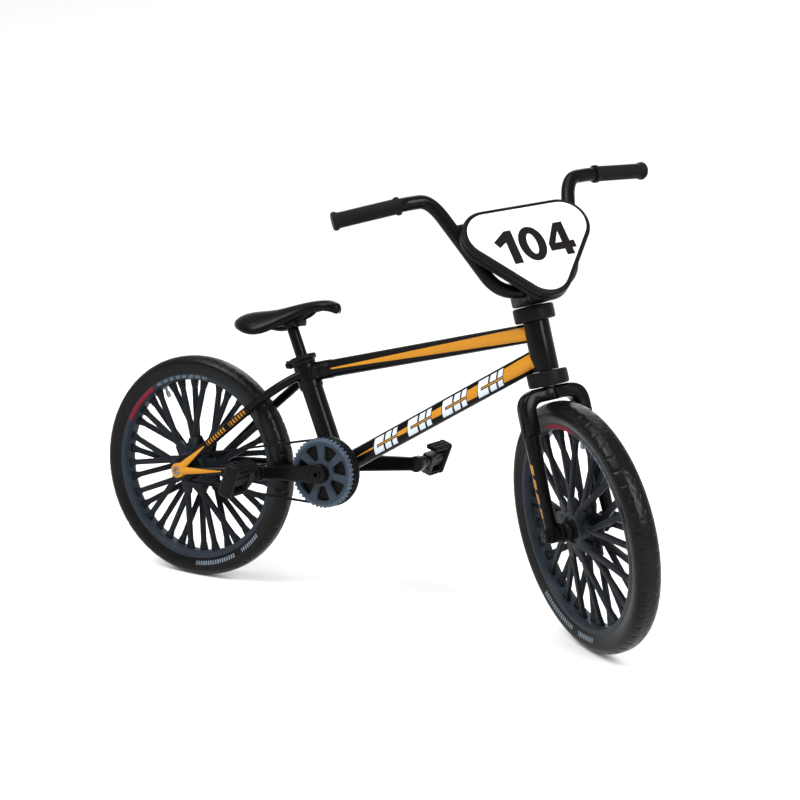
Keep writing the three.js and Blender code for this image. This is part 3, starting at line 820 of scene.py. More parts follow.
class BMX_OT_frame(Operator):
    """Makes the frame: tubes, stays, dropouts and headset cups"""

    bl_idname = "bmx.frame"
    bl_label = "Frame"

    def execute(self, context):
        sizes = context.scene.bmx_sizes
        head = rod(on_head(31), on_head(40.8), sizes.head_radius, edge=0.15, steps=48)
        top = rod(*TOP_TUBE, sizes.top_radius, steps=40)
        down = rod(*DOWN_TUBE, sizes.down_radius, steps=40)
        seat = rod(CRANK_AXLE, on_seat_tube(23.2), sizes.seat_radius, edge=0.1, steps=40)
        shell = disc(2.9, -3.4, 3.4, 0.25).moved(Matrix.Translation(CRANK_AXLE) @ SIDE_ON)
        lug = rod(on_seat_tube(18.0), on_seat_tube(23.2), sizes.seat_radius + 0.28, edge=0.2, steps=40)
        fore = (TOP_TUBE[1] - TOP_TUBE[0]).normalized()
        socket = rod(TOP_TUBE[0], TOP_TUBE[0] + fore * 6.4, sizes.top_radius + 0.12, edge=0.1, steps=40)
        body = head.union(top, down, seat, shell, lug, socket)
        for s in (-1, 1):
            middle = on_seat_tube(21.3) + fore * 2.9
            rim = disc(1.3, 1.2, 2.32, 0.16, 32)
            dish = disc(0.85, 2.12, 4, 0.0, 32)
            button = rim.minus(dish).add(disc(0.5, 1.9, 2.3, 0.1, 24))
            place = Matrix.Scale(-s, 4, Y) @ Matrix.Translation((middle.x, 0, middle.z)) @ SIDE_ON
            body = body.union(button.moved(place))
        for side, s in SIDES:
            body = body.union(self.seat_stay(s), self.chain_stay(s), self.dropout(s))
        bridge = rod((26.6, -3, 28), (26.6, 3, 28), 0.7, steps=16)
        bore = rod(on_seat_tube(6), on_seat_tube(30), 1.4, steps=24)
        body = body.union(bridge).minus(bore)
        nodes = ["head_tube", "top_tube", "down_tube", "seat_tube", "bottom_bracket_shell", "chain_stay_bridge"]
        nodes += [f"{part}_{side}" for part in ("seat_stay", "chain_stay", "dropout") for side, _ in SIDES]
        piece("bike_frame", body, FINISHES["frame"], "frame", nodes)
        self.cups()
        for side, s in SIDES:
            self.dropout_screw(side, s)
        return {"FINISHED"}

    def seat_stay(self, s):
        points = [(0.6, 7.35, 25.6), (8, 6.5, 32.3), (16, 5.3, 39.5)]
        points += [(20.9, 4.7, 43.6), (25.0, 3.3, 46.7), (27.6, 1.8, 48.4)]
        return swept(flowing([(x, y * s, z) for x, y, z in points], 6), 1.0, 20)

    def chain_stay(self, s):
        points = [(0.8, 7.4, 25.1), (8, 6.9, 25.9), (16, 5.4, 26.8)]
        points += [(23, 4.1, 27.6), (28, 2.75, 28.1), (34.5, 2, 28.8)]
        return swept(flowing([(x, y * s, z) for x, y, z in points], 6), 1.02, 20)

    def dropout(self, s):
        """A round eye with a tapering tongue laid along each stay."""
        place = Matrix.Translation((0, DROPOUT_OUT * s, 0)) @ REAR_WHEEL
        eye = disc(1.62, -0.75, 0.75, 0.2, 40)
        tongues = []
        for reach, lift, width in ((9.2, 42, 1.15), (11.4, 5.8, 1.05)):
            ahead = Vector((math.cos(math.radians(lift)), math.sin(math.radians(lift))))
            tip = ahead * reach
            tongue = slab(belt([(0, 0, width), (tip.x, tip.y, 0.16)]), -0.62, 0.62, 0.15)
            skew = 0.1 if lift > 20 else 0.055
            follow = Matrix.Identity(4)
            follow[2][0] = skew * ahead.x * s
            follow[2][1] = skew * ahead.y * s
            tongues.append(tongue.moved(follow))
        return eye.union(*tongues).moved(place)

    def cups(self):
        for name, low in (("lower_headset_cup", 27.99), ("upper_headset_cup", 40.86)):
            high = low + 2.95
            outline = [(0, low), (3.95, low), (4.05, low + 0.6), (4.05, high - 0.5), (3.9, high), (0, high)]
            cup = turned(eased(outline, 0.42, cuts=3), 56).moved(HEAD)
            piece(f"{name}_moulded", cup, FINISHES["moulding"], "frame", [name])

    def dropout_screw(self, side, s):
        place = REAR_WHEEL @ Matrix.Translation((0, 0, -7.5 * s))
        if s > 0:
            place = place @ Matrix.Rotation(math.pi, 4, "X")
        screw = disc(0.95, -0.5, 0.92, 0.12, 32)
        socket = slab(circle(0.5, 6), 0.5, 2)
        screw = screw.minus(socket)
        piece(f"dropout_screw_{side}", screw.moved(place), FINISHES["steel"], "frame")


class BMX_OT_seat(Operator):
    """Makes the saddle, its clamp, the post and the collar"""

    bl_idname = "bmx.seat"
    bl_label = "Seat"

    # Stations from tail to nose: place, half width, height of the middle, droop of the edge, thickness
    STATIONS = (
        (9.9, 0.8, 58.5, 0.2, 1.0),
        (10.7, 2.6, 59.4, 0.7, 1.3),
        (12.5, 4.7, 60.4, 2.0, 1.7),
        (15.1, 5.9, 61.0, 3.3, 1.8),
        (17.8, 6.1, 61.4, 3.9, 1.8),
        (20.6, 5.2, 61.9, 3.5, 1.8),
        (23.4, 3.7, 62.7, 2.5, 1.9),
        (26.6, 2.5, 63.6, 1.5, 2.0),
        (30.0, 2.0, 64.4, 0.8, 1.9),
        (33.4, 1.75, 64.7, 0.6, 1.7),
        (35.0, 1.25, 64.3, 0.5, 1.4),
        (35.7, 0.5, 63.9, 0.3, 1.0),
    )

    def execute(self, context):
        self.saddle()
        self.post()
        return {"FINISHED"}

    def station(self, share):
        spot = share * (len(self.STATIONS) - 1)
        i = min(int(spot), len(self.STATIONS) - 2)
        t = spot - i
        return [a + (b - a) * t for a, b in zip(self.STATIONS[i], self.STATIONS[i + 1])]

    def saddle(self):
        shape = Shape()
        rows = len(self.STATIONS) - 1
        bmesh.ops.create_grid(shape.bm, x_segments=rows, y_segments=8, size=1)
        for vert in shape.bm.verts:
            x, half, height, droop, _ = self.station((vert.co.x + 1) / 2)
            side = vert.co.y
            vert.co = (x, side * half, height - droop * abs(side) ** 2.4)
        shape.facing_out()
        if sum(f.normal.z for f in shape.bm.faces) < 0:
            bmesh.ops.reverse_faces(shape.bm, faces=shape.bm.faces)
        grown = bmesh.ops.extrude_face_region(shape.bm, geom=list(shape.bm.faces))["geom"]
        under = [v for v in grown if isinstance(v, bmesh.types.BMVert)]
        for vert in under:
            share = (vert.co.x - self.STATIONS[0][0]) / (self.STATIONS[-1][0] - self.STATIONS[0][0])
            middle = max(0.0, 1 - abs(vert.co.y) / 7)
            vert.co.z -= 1.3 + 0.5 * middle
            vert.co.y *= 0.93
            vert.co.x += 0.35 * (0.5 - share)
        shape.facing_out()
        bmesh.ops.subdivide_edges(shape.bm, edges=shape.bm.edges, cuts=1, use_grid_fill=True, smooth=0.6)
        axes = {f"use_axis_{axis}": True for axis in "xyz"}
        bmesh.ops.smooth_vert(shape.bm, verts=shape.bm.verts, factor=0.35, **axes)
        slots = [block((1.0, 0.62, 3), 0.0).at(x, 0, 64.4) for x in (31.8, 33.6)]
        shell = shape.minus(*slots)
        obj = piece("saddle_shell", shell, FINISHES["saddle"], "seat", ["saddle"], 50)
        smooth = obj.modifiers.new("smooth", "SUBSURF")
        smooth.levels = 2
        smooth.render_levels = 2
        rails = Shape()
        for s in (-1, 1):
            line = [(19.6, 1.9, 58.4), (21.4, 1.5, 58.6), (24.4, 1.4, 59.6), (27.6, 1.4, 61.0), (29.4, 1.2, 62.6)]
            path = flowing([(x, y * s, z) for x, y, z in line])
            rails.add(swept(path, 0.42, 12))
        cradle = block((5.6, 3.4, 1.2), 0.3).turned(-14, "Y").at(22.2, 0, 59.2)
        rails.add(cradle)
        piece("saddle_rails", rails, FINISHES["moulding"], "seat")

    def post(self):
        top = on_seat_tube(31.8)
        post = rod(on_seat_tube(12.5), top, 1.28, edge=0.1, steps=32)
        piece("seat_post_tube", post, FINISHES["paint"], "seat", ["seat_post"])
        centre = top + Vector((-0.1, 0, 1.0))
        barrel = disc(1.15, -1.9, 1.9, 0.2, 32).moved(Matrix.Translation(centre) @ SIDE_ON)
        ears = block((2.6, 3.2, 1.5), 0.3).at(*(centre + Vector((1.5, 0, 0.2))))
        bolt = disc(0.62, -2.35, 2.35, 0.12, 6).moved(Matrix.Translation(centre + Vector((1.6, 0, 0.1))) @ SIDE_ON)
        clamp = barrel.union(ears).add(bolt)
        piece("saddle_clamp_moulded", clamp, FINISHES["moulding"], "seat", ["saddle_clamp"])
        low, high = on_seat_tube(23.28), on_seat_tube(25.2)
        tall = (high - low).length
        outline = [(1.42, 0), (2.5, 0), (2.5, 0.75), (3.0, 0.95), (3.05, tall - 0.2), (2.9, tall), (1.42, tall)]
        ring = turned(eased(outline, 0.18, closed=True, cuts=2), 48, closed=True).moved(standing(low, high))
        ear = on_seat_tube(24.3) + Vector((-3.0, 0, -1.2))
        lobes = [block((1.5, 0.85, 1.7), 0.25).at(*(ear + Vector((0, 0.75 * s, 0)))) for s in (-1, 1)]
        pinch = disc(0.55, -1.7, 1.7, 0.12, 16).moved(Matrix.Translation(ear) @ SIDE_ON)
        collar = ring.add(*lobes, pinch)
        piece("seat_collar_moulded", collar, FINISHES["moulding"], "frame", ["seat_collar"])


class BMX_OT_wheels(Operator):
    """Makes the tyres, the moulded wheels, the valves and the axle ends"""

    bl_idname = "bmx.wheels"
    bl_label = "Wheels"

    STEMS = 9
    # Angles are degrees back from the line that each right and left stem mirror each other about.
    SPOKE = {"root": 2.9, "root_lag": 14, "split": 6.5, "lag": 6, "tips": (14.5, -5)}
    THICK = {"root": 3.2, "split": 2.1, "branch": 1.22, "deep": 0.85}

    def execute(self, context):
        sizes = context.scene.bmx_sizes
        ends = (
            ("rear", REAR_WHEEL, 3.4, 20.5, 120.5, "rear_wheel"),
            ("front", FRONT_WHEEL, 2.4, 4.3, 64.3, "front_wheel"),
        )
        for end, place, flange, phase, valve, body in ends:
            tyre = self.tyre(sizes).moved(place)
            piece(f"{end}_tyre_tread", tyre, FINISHES[f"{end} tyre"], body, [f"{end}_tyre"], 60)
            wheel = self.wheel(sizes, flange, phase).moved(place)
            piece(f"{end}_wheel_moulding", wheel, FINISHES[f"{end} wheel"], body, [f"{end}_wheel"])
            stem = self.valve(sizes, valve).moved(place)
            piece(f"{end}_valve_stem", stem, FINISHES["steel"], body, [f"{end}_valve"])
        refinish("rear_axle", FINISHES["moulding"])
        refinish("front_axle", FINISHES["steel"])
        return {"FINISHED"}

    def tyre(self, sizes):
        """A round tyre with curved cuts across its tread."""
        outer = sizes.tyre_radius
        bead = sizes.rim_outer - 0.02
        wall = [(bead, 1.55), (bead, 1.98), (bead + 0.35, 2.16), (22.4, 2.5), (23.2, 2.6), (23.9, 2.45)]
        wall += [(24.45, 2.0), (24.8, 1.4), (outer - 0.03, 0.75), (outer, 0)]
        half = flowing([(r, y, 0) for r, y in wall], 4)
        outline = [(p.x, p.y) for p in half] + [(p.x, -p.y) for p in reversed(half[:-1])]
        per_pitch = 12
        pitches = sizes.tread_pitches
        shape = turned(outline, pitches * per_pitch, closed=True)
        pitch = math.tau / pitches
        for vert in shape.bm.verts:
            radius = math.hypot(vert.co.x, vert.co.y)
            if radius < 23.6:
                continue
            across = vert.co.z
            turn = math.atan2(vert.co.y, vert.co.x) / pitch
            depth = max(self.cut(turn, across), self.cut(turn + 0.5, -across))
            shrink = 1 - 0.17 * depth / radius
            vert.co.x *= shrink
            vert.co.y *= shrink
        return shape

    def cut(self, turn, across):
        """How deep the tread is cut, from 0 to 1: a crescent on the shoulder and a short slanting one inside it."""
        shoulder = self.groove(turn - 0.16 * (across - 1.6) ** 2, across, 0.95, 2.35)
        inner = 0.6 * self.groove(turn + 0.5 - 0.35 * across, across, 0.12, 0.72)
        return max(shoulder, inner)

    def groove(self, turn, across, low, high):
        if not low < across < high:
            return 0.0
        away = abs(turn - round(turn)) * 2.9
        ends = min(1.0, (across - low) / 0.2, (high - across) / 0.2)
        return max(0.0, 1 - (away / 0.24) ** 2) * ends

    def limb(self, start, end, wide, end_wide, thick):
        """A tapering bar with rounded edges."""
        start, end = Vector(start), Vector(end)
        along = end - start
        bar = block((wide, thick, along.length), 0.0)
        for vert in bar.bm.verts:
            if vert.co.z > 0:
                vert.co.x *= end_wide / wide
        bar.rounded(0.22, 2)
        side = Z.cross(along).normalized()
        return bar.moved(basis(side, along.normalized().cross(side), along.normalized(), (start + end) / 2))

    def wheel(self, sizes, flange, phase):
        inner, outer = sizes.rim_inner, sizes.rim_outer
        wall = [(outer + 0.3, 1.7), (outer, 2.02), (inner + 0.45, 1.95), (inner + 0.25, 1.6), (inner, 0.9)]
        rim = [(r, -y) for r, y in reversed(wall)] + wall
        shape = turned(eased(rim, 0.12, closed=True, cuts=2), 120, closed=True)
        hub = [(0.95, -flange), (1.75, -flange), (1.9, -flange + 0.9), (1.75, 0)]
        hub += [(1.9, flange - 0.9), (1.75, flange), (0.95, flange)]
        shape.add(turned(eased(hub, 0.2, closed=True, cuts=2), 40, closed=True))
        spoke, thick = self.SPOKE, self.THICK
        for side in (-1, 1):
            ring = [(1.2, 0), (2.5, 0), (2.62, 0.35), (3.25, 0.35), (3.35, 0.1), (3.35, -0.45), (1.2, -0.45)]
            cheek = turned(eased(ring, 0.1, closed=True, cuts=2), 48, closed=True)
            shape.add(cheek.at(z=flange - 0.4).moved(Matrix.Scale(side, 4, Z)))
            for i in range(self.STEMS):
                middle = phase + i * 360 / self.STEMS
                root = self.spot(spoke["root"], middle - spoke["root_lag"] * side, (flange - 0.5) * side)
                split = self.spot(spoke["split"], middle - spoke["lag"] * side, (0.95 + flange * 0.21) * side)
                shape.add(self.limb(root, split, thick["root"], thick["split"], thick["deep"]))
                for tip in spoke["tips"]:
                    turn = middle - tip * side
                    end = self.spot(inner + 0.4, turn, 0.25 * side)
                    near = split.lerp(end, -0.06)
                    wide, deep = thick["branch"], thick["deep"]
                    shape.add(self.limb(near, end, wide + 0.12, wide, deep))
                    shape.add(self.limb(end.lerp(split, 0.17), end, wide, wide + 0.9, deep + 0.15))
        return shape

    def spot(self, radius, turn, out):
        return Vector((radius * math.cos(math.radians(turn)), radius * math.sin(math.radians(turn)), out))

    def valve(self, sizes, turn):
        base = self.spot(sizes.rim_inner - 0.05, turn, 0)
        neck = self.spot(sizes.rim_inner - 1.2, turn, 0)
        tip = self.spot(sizes.rim_inner - 2.5, turn, 0)
        stem = rod(base, tip, 0.38, 0.3, steps=16)
        return stem.add(rod(neck, tip, 0.5, 0.46, edge=0.12, steps=16))


class BMX_OT_fork(Operator):
    """Makes the fork, its axle nuts and the hub bosses"""

    bl_idname = "bmx.fork"
    bl_label = "Fork"

    def execute(self, context):
        leg = 6.4
        outer = eased([(7.45, 19), (7.45, 27.88), (-7.45, 27.88), (-7.45, 19)], 4.6, cuts=10)
        inner = eased([(-4.4, 19), (-4.4, 25.15), (4.4, 25.15), (4.4, 19)], 1.8, cuts=6)
        fork = slab(outer + inner, -1.85, 1.85, 0.9, 5).moved(FACE_ON)
        boss = block((3.7, 3.6, 2.5), 0.35).at(0.1, 0, 26.55)
        fork = fork.union(boss).minus(block((1.0, 0.62, 4), 0.0).at(2.05, 0, 26.4))
        for s in (-1, 1):
            path = []
            for t in (-0.3, 4, 8, 12, 16, 20, 22):
                across = leg - 0.42 * max(0.0, (t - 8) / 12)
                path.append(Vector((RAKE * max(0.0, 1 - t / 20), across * s, t)))
            radii = [1.16 + 0.4 * min(1.0, max(0.0, p.z) / 20) for p in path]
            tip = disc(1.65, -1.05, 1.1, 0.3, 32).moved(SIDE_ON).at(RAKE, leg * s, -AXLE_DROP)
            fork = fork.union(swept(path, radii, 28), tip)
        nodes = ["fork_crown", "fork_leg_right", "fork_leg_left"]
        piece("fork_casting", fork.moved(STEER), FINISHES["fork"], "steering", nodes)
        for side, s in SIDES:
            self.hub_end(side, s)
        refinish("steerer", FINISHES["steel"])
        return {"FINISHED"}

    def hub_end(self, side, s):
        place = FRONT_WHEEL @ Matrix.Scale(-s, 4, Z)
        outline = [(0.9, 2.55), (1.95, 2.55), (1.95, 3.6), (1.75, 3.8)]
        outline += [(1.75, 4.5), (2.1, 4.75), (2.1, 5.2), (0.9, 5.2)]
        boss = turned(eased(outline, 0.15, closed=True, cuts=2), 40, closed=True).moved(place)
        piece(f"hub_boss_{side}", boss, FINISHES["moulding"], "steering", [f"front_hub_spacer_{side}"])
        nut = slab(circle(1.32, 6), 7.6, 8.35, 0.12).union(disc(0.62, 7.6, 8.6, 0.12, 24))
        washer = disc(1.5, 7.5, 7.72, 0.05, 32)
        shape = nut.add(washer).moved(place)
        piece(f"axle_nut_{side}", shape, FINISHES["moulding"], "steering", [f"front_axle_nut_{side}"])


class BMX_OT_bars(Operator):
    """Makes the stem, the handlebar, the grips and the number plate"""

    bl_idname = "bmx.bars"
    bl_label = "Bars"

    CLAMP = Vector((3.5, 0, 46.9))
    LEAN = math.radians(18)
    TOP = 22.0
    SWEEP_FROM = 20.0
    CROSS_RISE = 14.8
    PLATE_LEAN = math.radians(24.4)

    def execute(self, context):
        radius = context.scene.bmx_sizes.bar_radius
        left = [self.on_bars(7.9, 0), self.on_bars(15.1, self.TOP)]
        left += [self.on_bars(self.SWEEP_FROM, self.TOP), self.swept_back(34)]
        right = [Vector((p.x, -p.y, p.z)) for p in reversed(left)]
        corners = right + left
        path = []
        for i, corner in enumerate(corners):
            if i in (0, len(corners) - 1):
                path.append(corner)
                continue
            reach = 0.8 if i in (1, len(corners) - 2) else 4.6
            bend = eased([corners[i - 1], corner, corners[i + 1]], reach, cuts=3 if reach < 1 else 12)
            path += bend[1:-1]
        bar = swept(path, radius, 32)
        cross = rod(self.on_bars(-12.4, self.CROSS_RISE), self.on_bars(12.4, self.CROSS_RISE), 1.0, steps=24)
        bar = bar.union(cross).moved(STEER)
        piece("handlebar_tube", bar, FINISHES["paint"], "steering", ["handlebar", "crossbar"])
        for side, s in SIDES:
            self.grip(side, s)
        self.stem()
        self.plate()
        return {"FINISHED"}

    def on_bars(self, y, rise):
        return self.CLAMP + Vector((-math.sin(self.LEAN) * rise, y, math.cos(self.LEAN) * rise))

    def swept_back(self, y):
        beyond = y - self.SWEEP_FROM
        return self.on_bars(y, self.TOP) + Vector((-0.2 * beyond, 0, -0.045 * beyond))

    def grip(self, side, s):
        start, end = self.swept_back(21.3), self.swept_back(34.5)
        start.y *= s
        end.y *= s
        tall = (end - start).length
        outline = [(0, 0), (1.4, 0), (1.7, 0), (1.8, 0.25), (1.8, 0.75), (1.6, 1.0), (1.53, 1.15)]
        ribs = 26
        for i in range(ribs):
            low = 1.3 + (tall - 2.9) * i / ribs
            outline += [(1.47, low), (1.55, low + 0.14), (1.55, low + 0.26)]
        outline += [(1.52, tall - 1.5), (1.6, tall - 1.2), (1.8, tall - 0.95), (1.85, tall - 0.5), (1.65, tall - 0.08)]
        outline += [(1.2, tall), (0, tall)]
        grip = turned(outline, 48).moved(STEER @ standing(start, end))
        piece(f"grip_ribbed_{side}", grip, FINISHES["grip"], "steering", [f"grip_{side}"], 50)

    def stem(self):
        block_back = block((6.0, 6.2, 5.1), 0.5, 3).at(0.1, 0, 46.6)
        bore = rod(self.on_bars(-6, 0), self.on_bars(6, 0), 1.44, steps=32)
        nose = block((3.0, 6.2, 5.0), 0.6, 3).at(3.6, 0, 46.85)
        body = block_back.union(nose).minus(bore)
        piece("stem_block", body.moved(STEER), FINISHES["moulding"], "steering", ["stem"])
        seat = rod(self.on_bars(-6, 0), self.on_bars(6, 0), 1.46)
        cap = block((1.7, 6.2, 4.7), 0.5, 3).at(5.55, 0, 46.85).minus(seat)
        for y in (-2.1, 2.1):
            for z in (-1.75, 1.75):
                bolt = disc(0.55, 0, 0.45, 0.08, 20).minus(slab(circle(0.3, 6), 0.2, 1))
                cap.add(bolt.moved(FACE_ON).at(6.35, y, 46.85 + z))
        piece("stem_cap", cap.moved(STEER), FINISHES["moulding"], "steering", ["stem_faceplate"])
        top = disc(1.75, 49.2, 49.9, 0.2, 40).minus(slab(circle(0.6, 6), 49.5, 51))
        piece("top_cap", top.moved(STEER), FINISHES["moulding"], "steering", ["headset_top_cap"])

    def plate(self):
        stand = STEER @ Matrix.Translation((7.06, 0, 54)) @ Matrix.Rotation(-self.PLATE_LEAN, 4, "Y") @ FACE_ON

        def outline(grow):
            return belt([(0, -4.69, 4.47 + grow), (7.84, 4.83, 4.62 + grow), (-7.84, 4.83, 4.62 + grow)], 20)

        back = slab(outline(0.92), -2.95, -0.12, 0.45, 4)
        groove = slab(outline(2), -1.75, -1.45).minus(slab(outline(0.78), -2, -1))
        back = back.minus(slab(outline(0.06), -0.3, 1), slab(outline(-0.8), -4, -1.3), groove)
        bracket = slab(belt([(0, -4.4, 3.9), (5.2, 2.2, 2.7), (-5.2, 2.2, 2.7)]), -4.5, -1.2, 0.4, 3)
        back = back.union(bracket)
        piece("plate_back", back.moved(stand), FINISHES["moulding"], "steering", ["number_plate_back"])
        face = slab(outline(0), -0.28, 0.0, 0.06)
        piece("plate_face", face.moved(stand), FINISHES["plate"], "steering", ["number_plate_face"])
        for name, outlines, holes in self.numerals():
            digit = slab(outlines, -0.03, 0.05)
            if holes:
                digit = digit.minus(slab(holes, -1, 1))
            piece(f"numeral_{name}", digit.moved(stand), FINISHES["numeral"], "steering")
        middle = self.on_bars(0, self.CROSS_RISE)
        for side, s in SIDES:
            strap = disc(1.5, -1.0, 1.0, 0.2, 28, bore=1.02).moved(SIDE_ON).at(middle.x, 4.6 * s, middle.z)
            arm = block((3.4, 2.0, 2.0), 0.3).at(middle.x + 2.4, 4.6 * s, middle.z)
            node = f"plate_clip_{side}"
            clip = strap.union(arm).moved(STEER)
            piece(f"plate_clip_moulded_{side}", clip, FINISHES["moulding"], "steering", [node])

    def numerals(self):
        """Plain block numerals: one, nought and four."""
        low, high = -2.5, 4.95
        middle, tall = (low + high) / 2, (high - low) / 2
        one = [(-5.6, low), (-3.75, low), (-3.75, high), (-5.2, high)]
        one += [(-8.0, high - 2.1), (-7.2, high - 3.5), (-5.6, high - 2.5)]
        ring = circle(1, 44)
        nought = [(-0.45 + 2.7 * x, middle + (tall + 0.15) * y) for x, y in ring]
        hole = [(-0.45 + 0.98 * x, middle + (tall - 1.4) * y) for x, y in ring]
        four = [(5.6, low), (7.25, low), (7.25, low + 1.4), (8.15, low + 1.4), (8.15, low + 3.0), (7.25, low + 3.0)]
        four += [(7.25, high), (5.35, high), (2.75, low + 3.1), (2.75, low + 1.4), (5.6, low + 1.4)]
        gap = [(5.6, low + 3.0), (5.6, high - 1.9), (4.2, low + 3.0)]
        return (("one", one, None), ("nought", nought, hole), ("four", four, gap))


class BMX_OT_drive(Operator):
    """Makes the cranks, the pedals, the sprocket, the cog and the chain"""

    bl_idname = "bmx.drive"
    bl_label = "Drive"

    def execute(self, context):
        sizes = context.scene.bmx_sizes
        hub = Matrix.Translation(CRANK_AXLE) @ SIDE_ON
        self.sprocket(sizes, hub)
        for side, s in SIDES:
            self.crank(side, s, hub)
            self.pedal(side, s)
        self.chain(hub)
        for node in ("crank_spindle", "pedal_axle_right", "pedal_axle_left"):
            refinish(node, FINISHES["steel"])
        return {"FINISHED"}

    def sprocket(self, sizes, hub):
        tip = sizes.sprocket_radius
        teeth = sizes.sprocket_teeth
        outline = []
        for i in range(teeth):
            for share, radius in ((0.0, tip - 0.36), (0.22, tip - 0.36), (0.42, tip), (0.72, tip)):
                turn = math.tau * (i + share) / teeth
                outline.append((radius * math.cos(turn), radius * math.sin(turn)))
        disc_face = slab(outline, 6.15, 6.95)
        spokes = 7
        windows = []
        for i in range(spokes):
            sweep = math.radians(17.5)
            corners = [(2.75, -0.75), (5.85, -1), (5.95, -0.35), (5.95, 0.35), (5.85, 1), (2.75, 0.75)]
            window = [(r * math.cos(sweep * a), r * math.sin(sweep * a)) for r, a in corners]
            windows.append(slab(eased(window, 0.5, closed=True, cuts=3), 5, 8).turned(360 * (i + 0.35) / spokes))
        disc_face = disc_face.minus(*windows)
        rims = disc(6.95, 6.9, 7.06, 0.07, 72, bore=6.1).add(disc(2.75, 6.9, 7.1, 0.08, 48, bore=1.5))
        face = disc_face.add(rims).moved(hub)
        piece("sprocket_disc", face, FINISHES["sprocket"], "cranks", ["sprocket"], 25)
        drum = disc(6.7, 4.0, 6.12, 0.1, 72, bore=1.45).add(disc(7.5, 3.7, 4.75, 0.3, 72, bore=1.45))
        piece("chain_drum_moulded", drum.moved(hub), FINISHES["moulding"], "cranks", ["chain_drum"])

    def crank(self, side, s, hub):
        end = SIDE_ON.inverted() @ (PEDAL_AXLES[side] - CRANK_AXLE)
        inner = 7.1 if s < 0 else 6.9
        outline = belt([(0, 0, 1.85), (end.x, end.y, 1.4)], 14)
        arm = slab(outline, inner, inner + 1.85, 0.45, 3)
        eye = disc(1.75, inner - 0.02, inner + 2.05, 0.3, 36).at(end.x, end.y)
        boss = disc(2.05, inner - 0.02, inner + 2.0, 0.35, 40)
        bolt = disc(0.95, inner + 1.9, inner + 2.3, 0.12, 32).minus(slab(circle(0.5, 6), inner + 2.0, inner + 3))
        crank = arm.union(eye, boss).add(bolt)
        place = hub @ Matrix.Scale(-s, 4, Z)
        nodes = [f"crank_arm_{side}", f"crank_bolt_{side}"]
        piece(f"crank_{side}", crank.moved(place), FINISHES["paint"], "cranks", nodes)

    def pedal(self, side, s):
        """A platform pedal: an open cage with toothed rails round a barrel, and a solid plate at its outer end."""
        # Drawn lying down: X runs down the pedal as it hangs, Y outwards from the crank, Z forwards.
        outline = [(-3.4, 12.5), (-3.4, 19.2), (3.4, 19.2), (3.4, 13.9), (1.6, 11.9), (-1.5, 11.9), (-1.7, 12.5)]
        cage = slab(outline, -1.25, 1.25, 0.25)
        windows = [block((1.15, 7.4, 4), 0.0).at(-1.95, 14.6), block((1.1, 3.9, 4), 0.0).at(1.95, 16.3)]
        windows.append(block((5.2, 4.6, 1.1), 0.3).at(0, 16.2, 1.3))
        barrel = disc(1.12, 9.7, 18.8, 0.15, 32).add(disc(1.42, 9.6, 10.7, 0.2, 32)).turned(-90, "X")
        plate = block((7.3, 1.7, 3.2), 0.75, 4).at(0, 19.25)
        cage = cage.minus(*windows).union(barrel, plate)
        for i in range(7):
            y = 12.9 + i * 0.86
            for x in (-3.42, 3.42):
                if x < 0 or y > 14:
                    for z in (-0.85, 0, 0.85):
                        cage.add(block((0.5, 0.42, 0.42), 0.1, 1).at(x, y, z))
                    cage.add(block((0.42, 0.42, 0.5), 0.1, 1).at(x * 0.9, y, 1.25))
                    cage.add(block((0.42, 0.42, 0.5), 0.1, 1).at(x * 0.9, y, -1.25))
        axle = PEDAL_AXLES[side]
        lean = Matrix.Rotation(math.radians(18.6), 4, "Y") @ Matrix.Rotation(math.radians(90), 4, "Y")
        place = Matrix.Translation((axle.x, 0, axle.z)) @ lean @ Matrix.Scale(s, 4, Y)
        body = node = f"pedal_{side}"
        piece(f"pedal_cage_{side}", cage.moved(place), FINISHES["moulding"], body, [node])

    def chain(self, hub):
        """An elastic loop moulded with small links, and the cog that drives the rear wheel."""
        rear = SIDE_ON.inverted() @ (REAR_AXLE - CRANK_AXLE)
        line = [Vector((x, y, 5.2)) for x, y in belt([(rear.x, rear.y, 2.75), (0, 0, 7.05)], 26)]
        lengths = [0.0]
        closed = line + line[:1]
        for a, b in zip(closed, closed[1:]):
            lengths.append(lengths[-1] + (b - a).length)
        links = 104
        shape = Shape()
        for i in range(links):
            goal = lengths[-1] * i / links
            k = next(n for n, reach in enumerate(lengths[1:]) if reach > goal)
            share = (goal - lengths[k]) / (lengths[k + 1] - lengths[k])
            spot = closed[k].lerp(closed[k + 1], share)
            ahead = (closed[k + 1] - closed[k]).normalized()
            pitch = lengths[-1] / links
            wide = 0.58 if i % 2 else 0.46
            link = block((pitch * 1.12, 0.48, wide), 0.1, 1)
            shape.add(link.moved(basis(ahead, Z.cross(ahead), Z, spot)))
        piece("chain_links", shape.moved(hub), FINISHES["chain"], "frame", ["chain"])
        outline = [(0.9, 3.5), (2.9, 3.5), (2.9, 4.75), (2.4, 4.85), (2.4, 5.6)]
        outline += [(2.9, 5.65), (2.9, 5.85), (1.5, 6.0), (1.5, 6.1), (0.9, 6.1)]
        cog = turned(eased(outline, 0.08, closed=True, cuts=2), 48, closed=True).moved(REAR_WHEEL)
        piece("cog_moulded", cog, FINISHES["moulding"], "rear_wheel", ["rear_cog"])


class BMX_PT_panel(Panel):
    """The bicycle's steps and settings"""

    bl_idname = "BMX_PT_panel"
    bl_label = "Finger BMX"
    bl_space_type = "VIEW_3D"
    bl_region_type = "UI"
    bl_category = "BMX"

    def draw(self, context):
        for operator in OPERATORS:
            self.layout.operator(operator.bl_idname)
        for group in (context.scene.bmx_sizes, context.scene.bmx_colours, context.scene.bmx_view):
            for name in group.bl_rna.properties.keys():
                if name not in ("rna_type", "name"):
                    self.layout.prop(group, name)


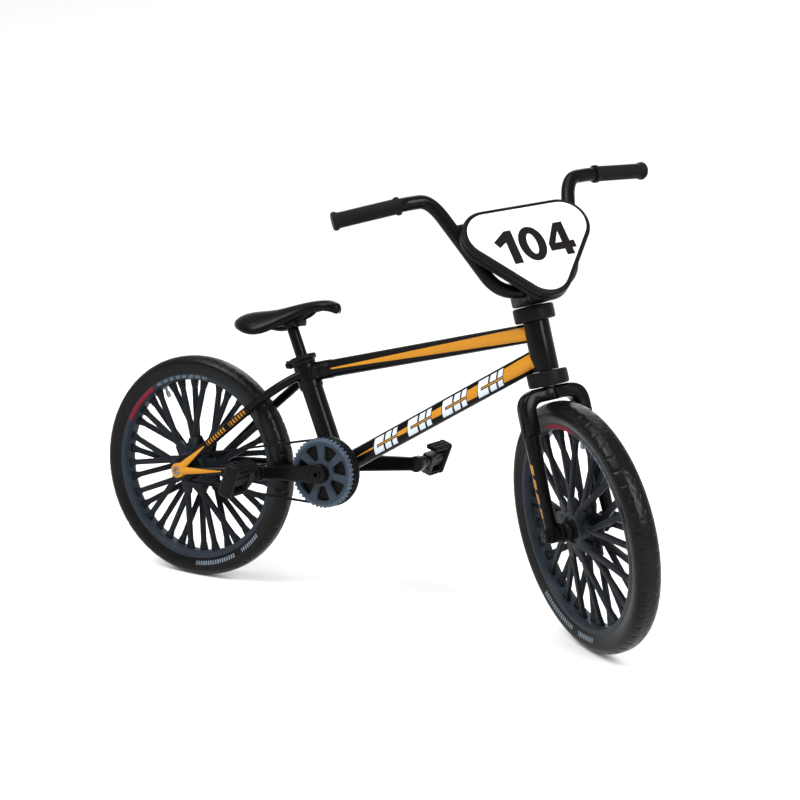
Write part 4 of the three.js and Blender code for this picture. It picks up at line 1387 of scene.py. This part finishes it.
OPERATORS = (BMX_OT_stage, BMX_OT_frame, BMX_OT_seat, BMX_OT_wheels, BMX_OT_fork, BMX_OT_bars, BMX_OT_drive)
GROUPS = {"bmx_colours": BmxColours, "bmx_sizes": BmxSizes, "bmx_view": BmxView}


def register():
    for kind in (*GROUPS.values(), *OPERATORS, BMX_PT_panel):
        bpy.utils.register_class(kind)
    for name, group in GROUPS.items():
        setattr(bpy.types.Scene, name, PointerProperty(type=group))


def unregister():
    for name in GROUPS:
        delattr(bpy.types.Scene, name)
    for kind in reversed((*GROUPS.values(), *OPERATORS, BMX_PT_panel)):
        bpy.utils.unregister_class(kind)


def main():
    register()
    for operator in OPERATORS:
        getattr(bpy.ops.bmx, operator.bl_idname.split(".")[1])()


if __name__ == "__main__":
    main()
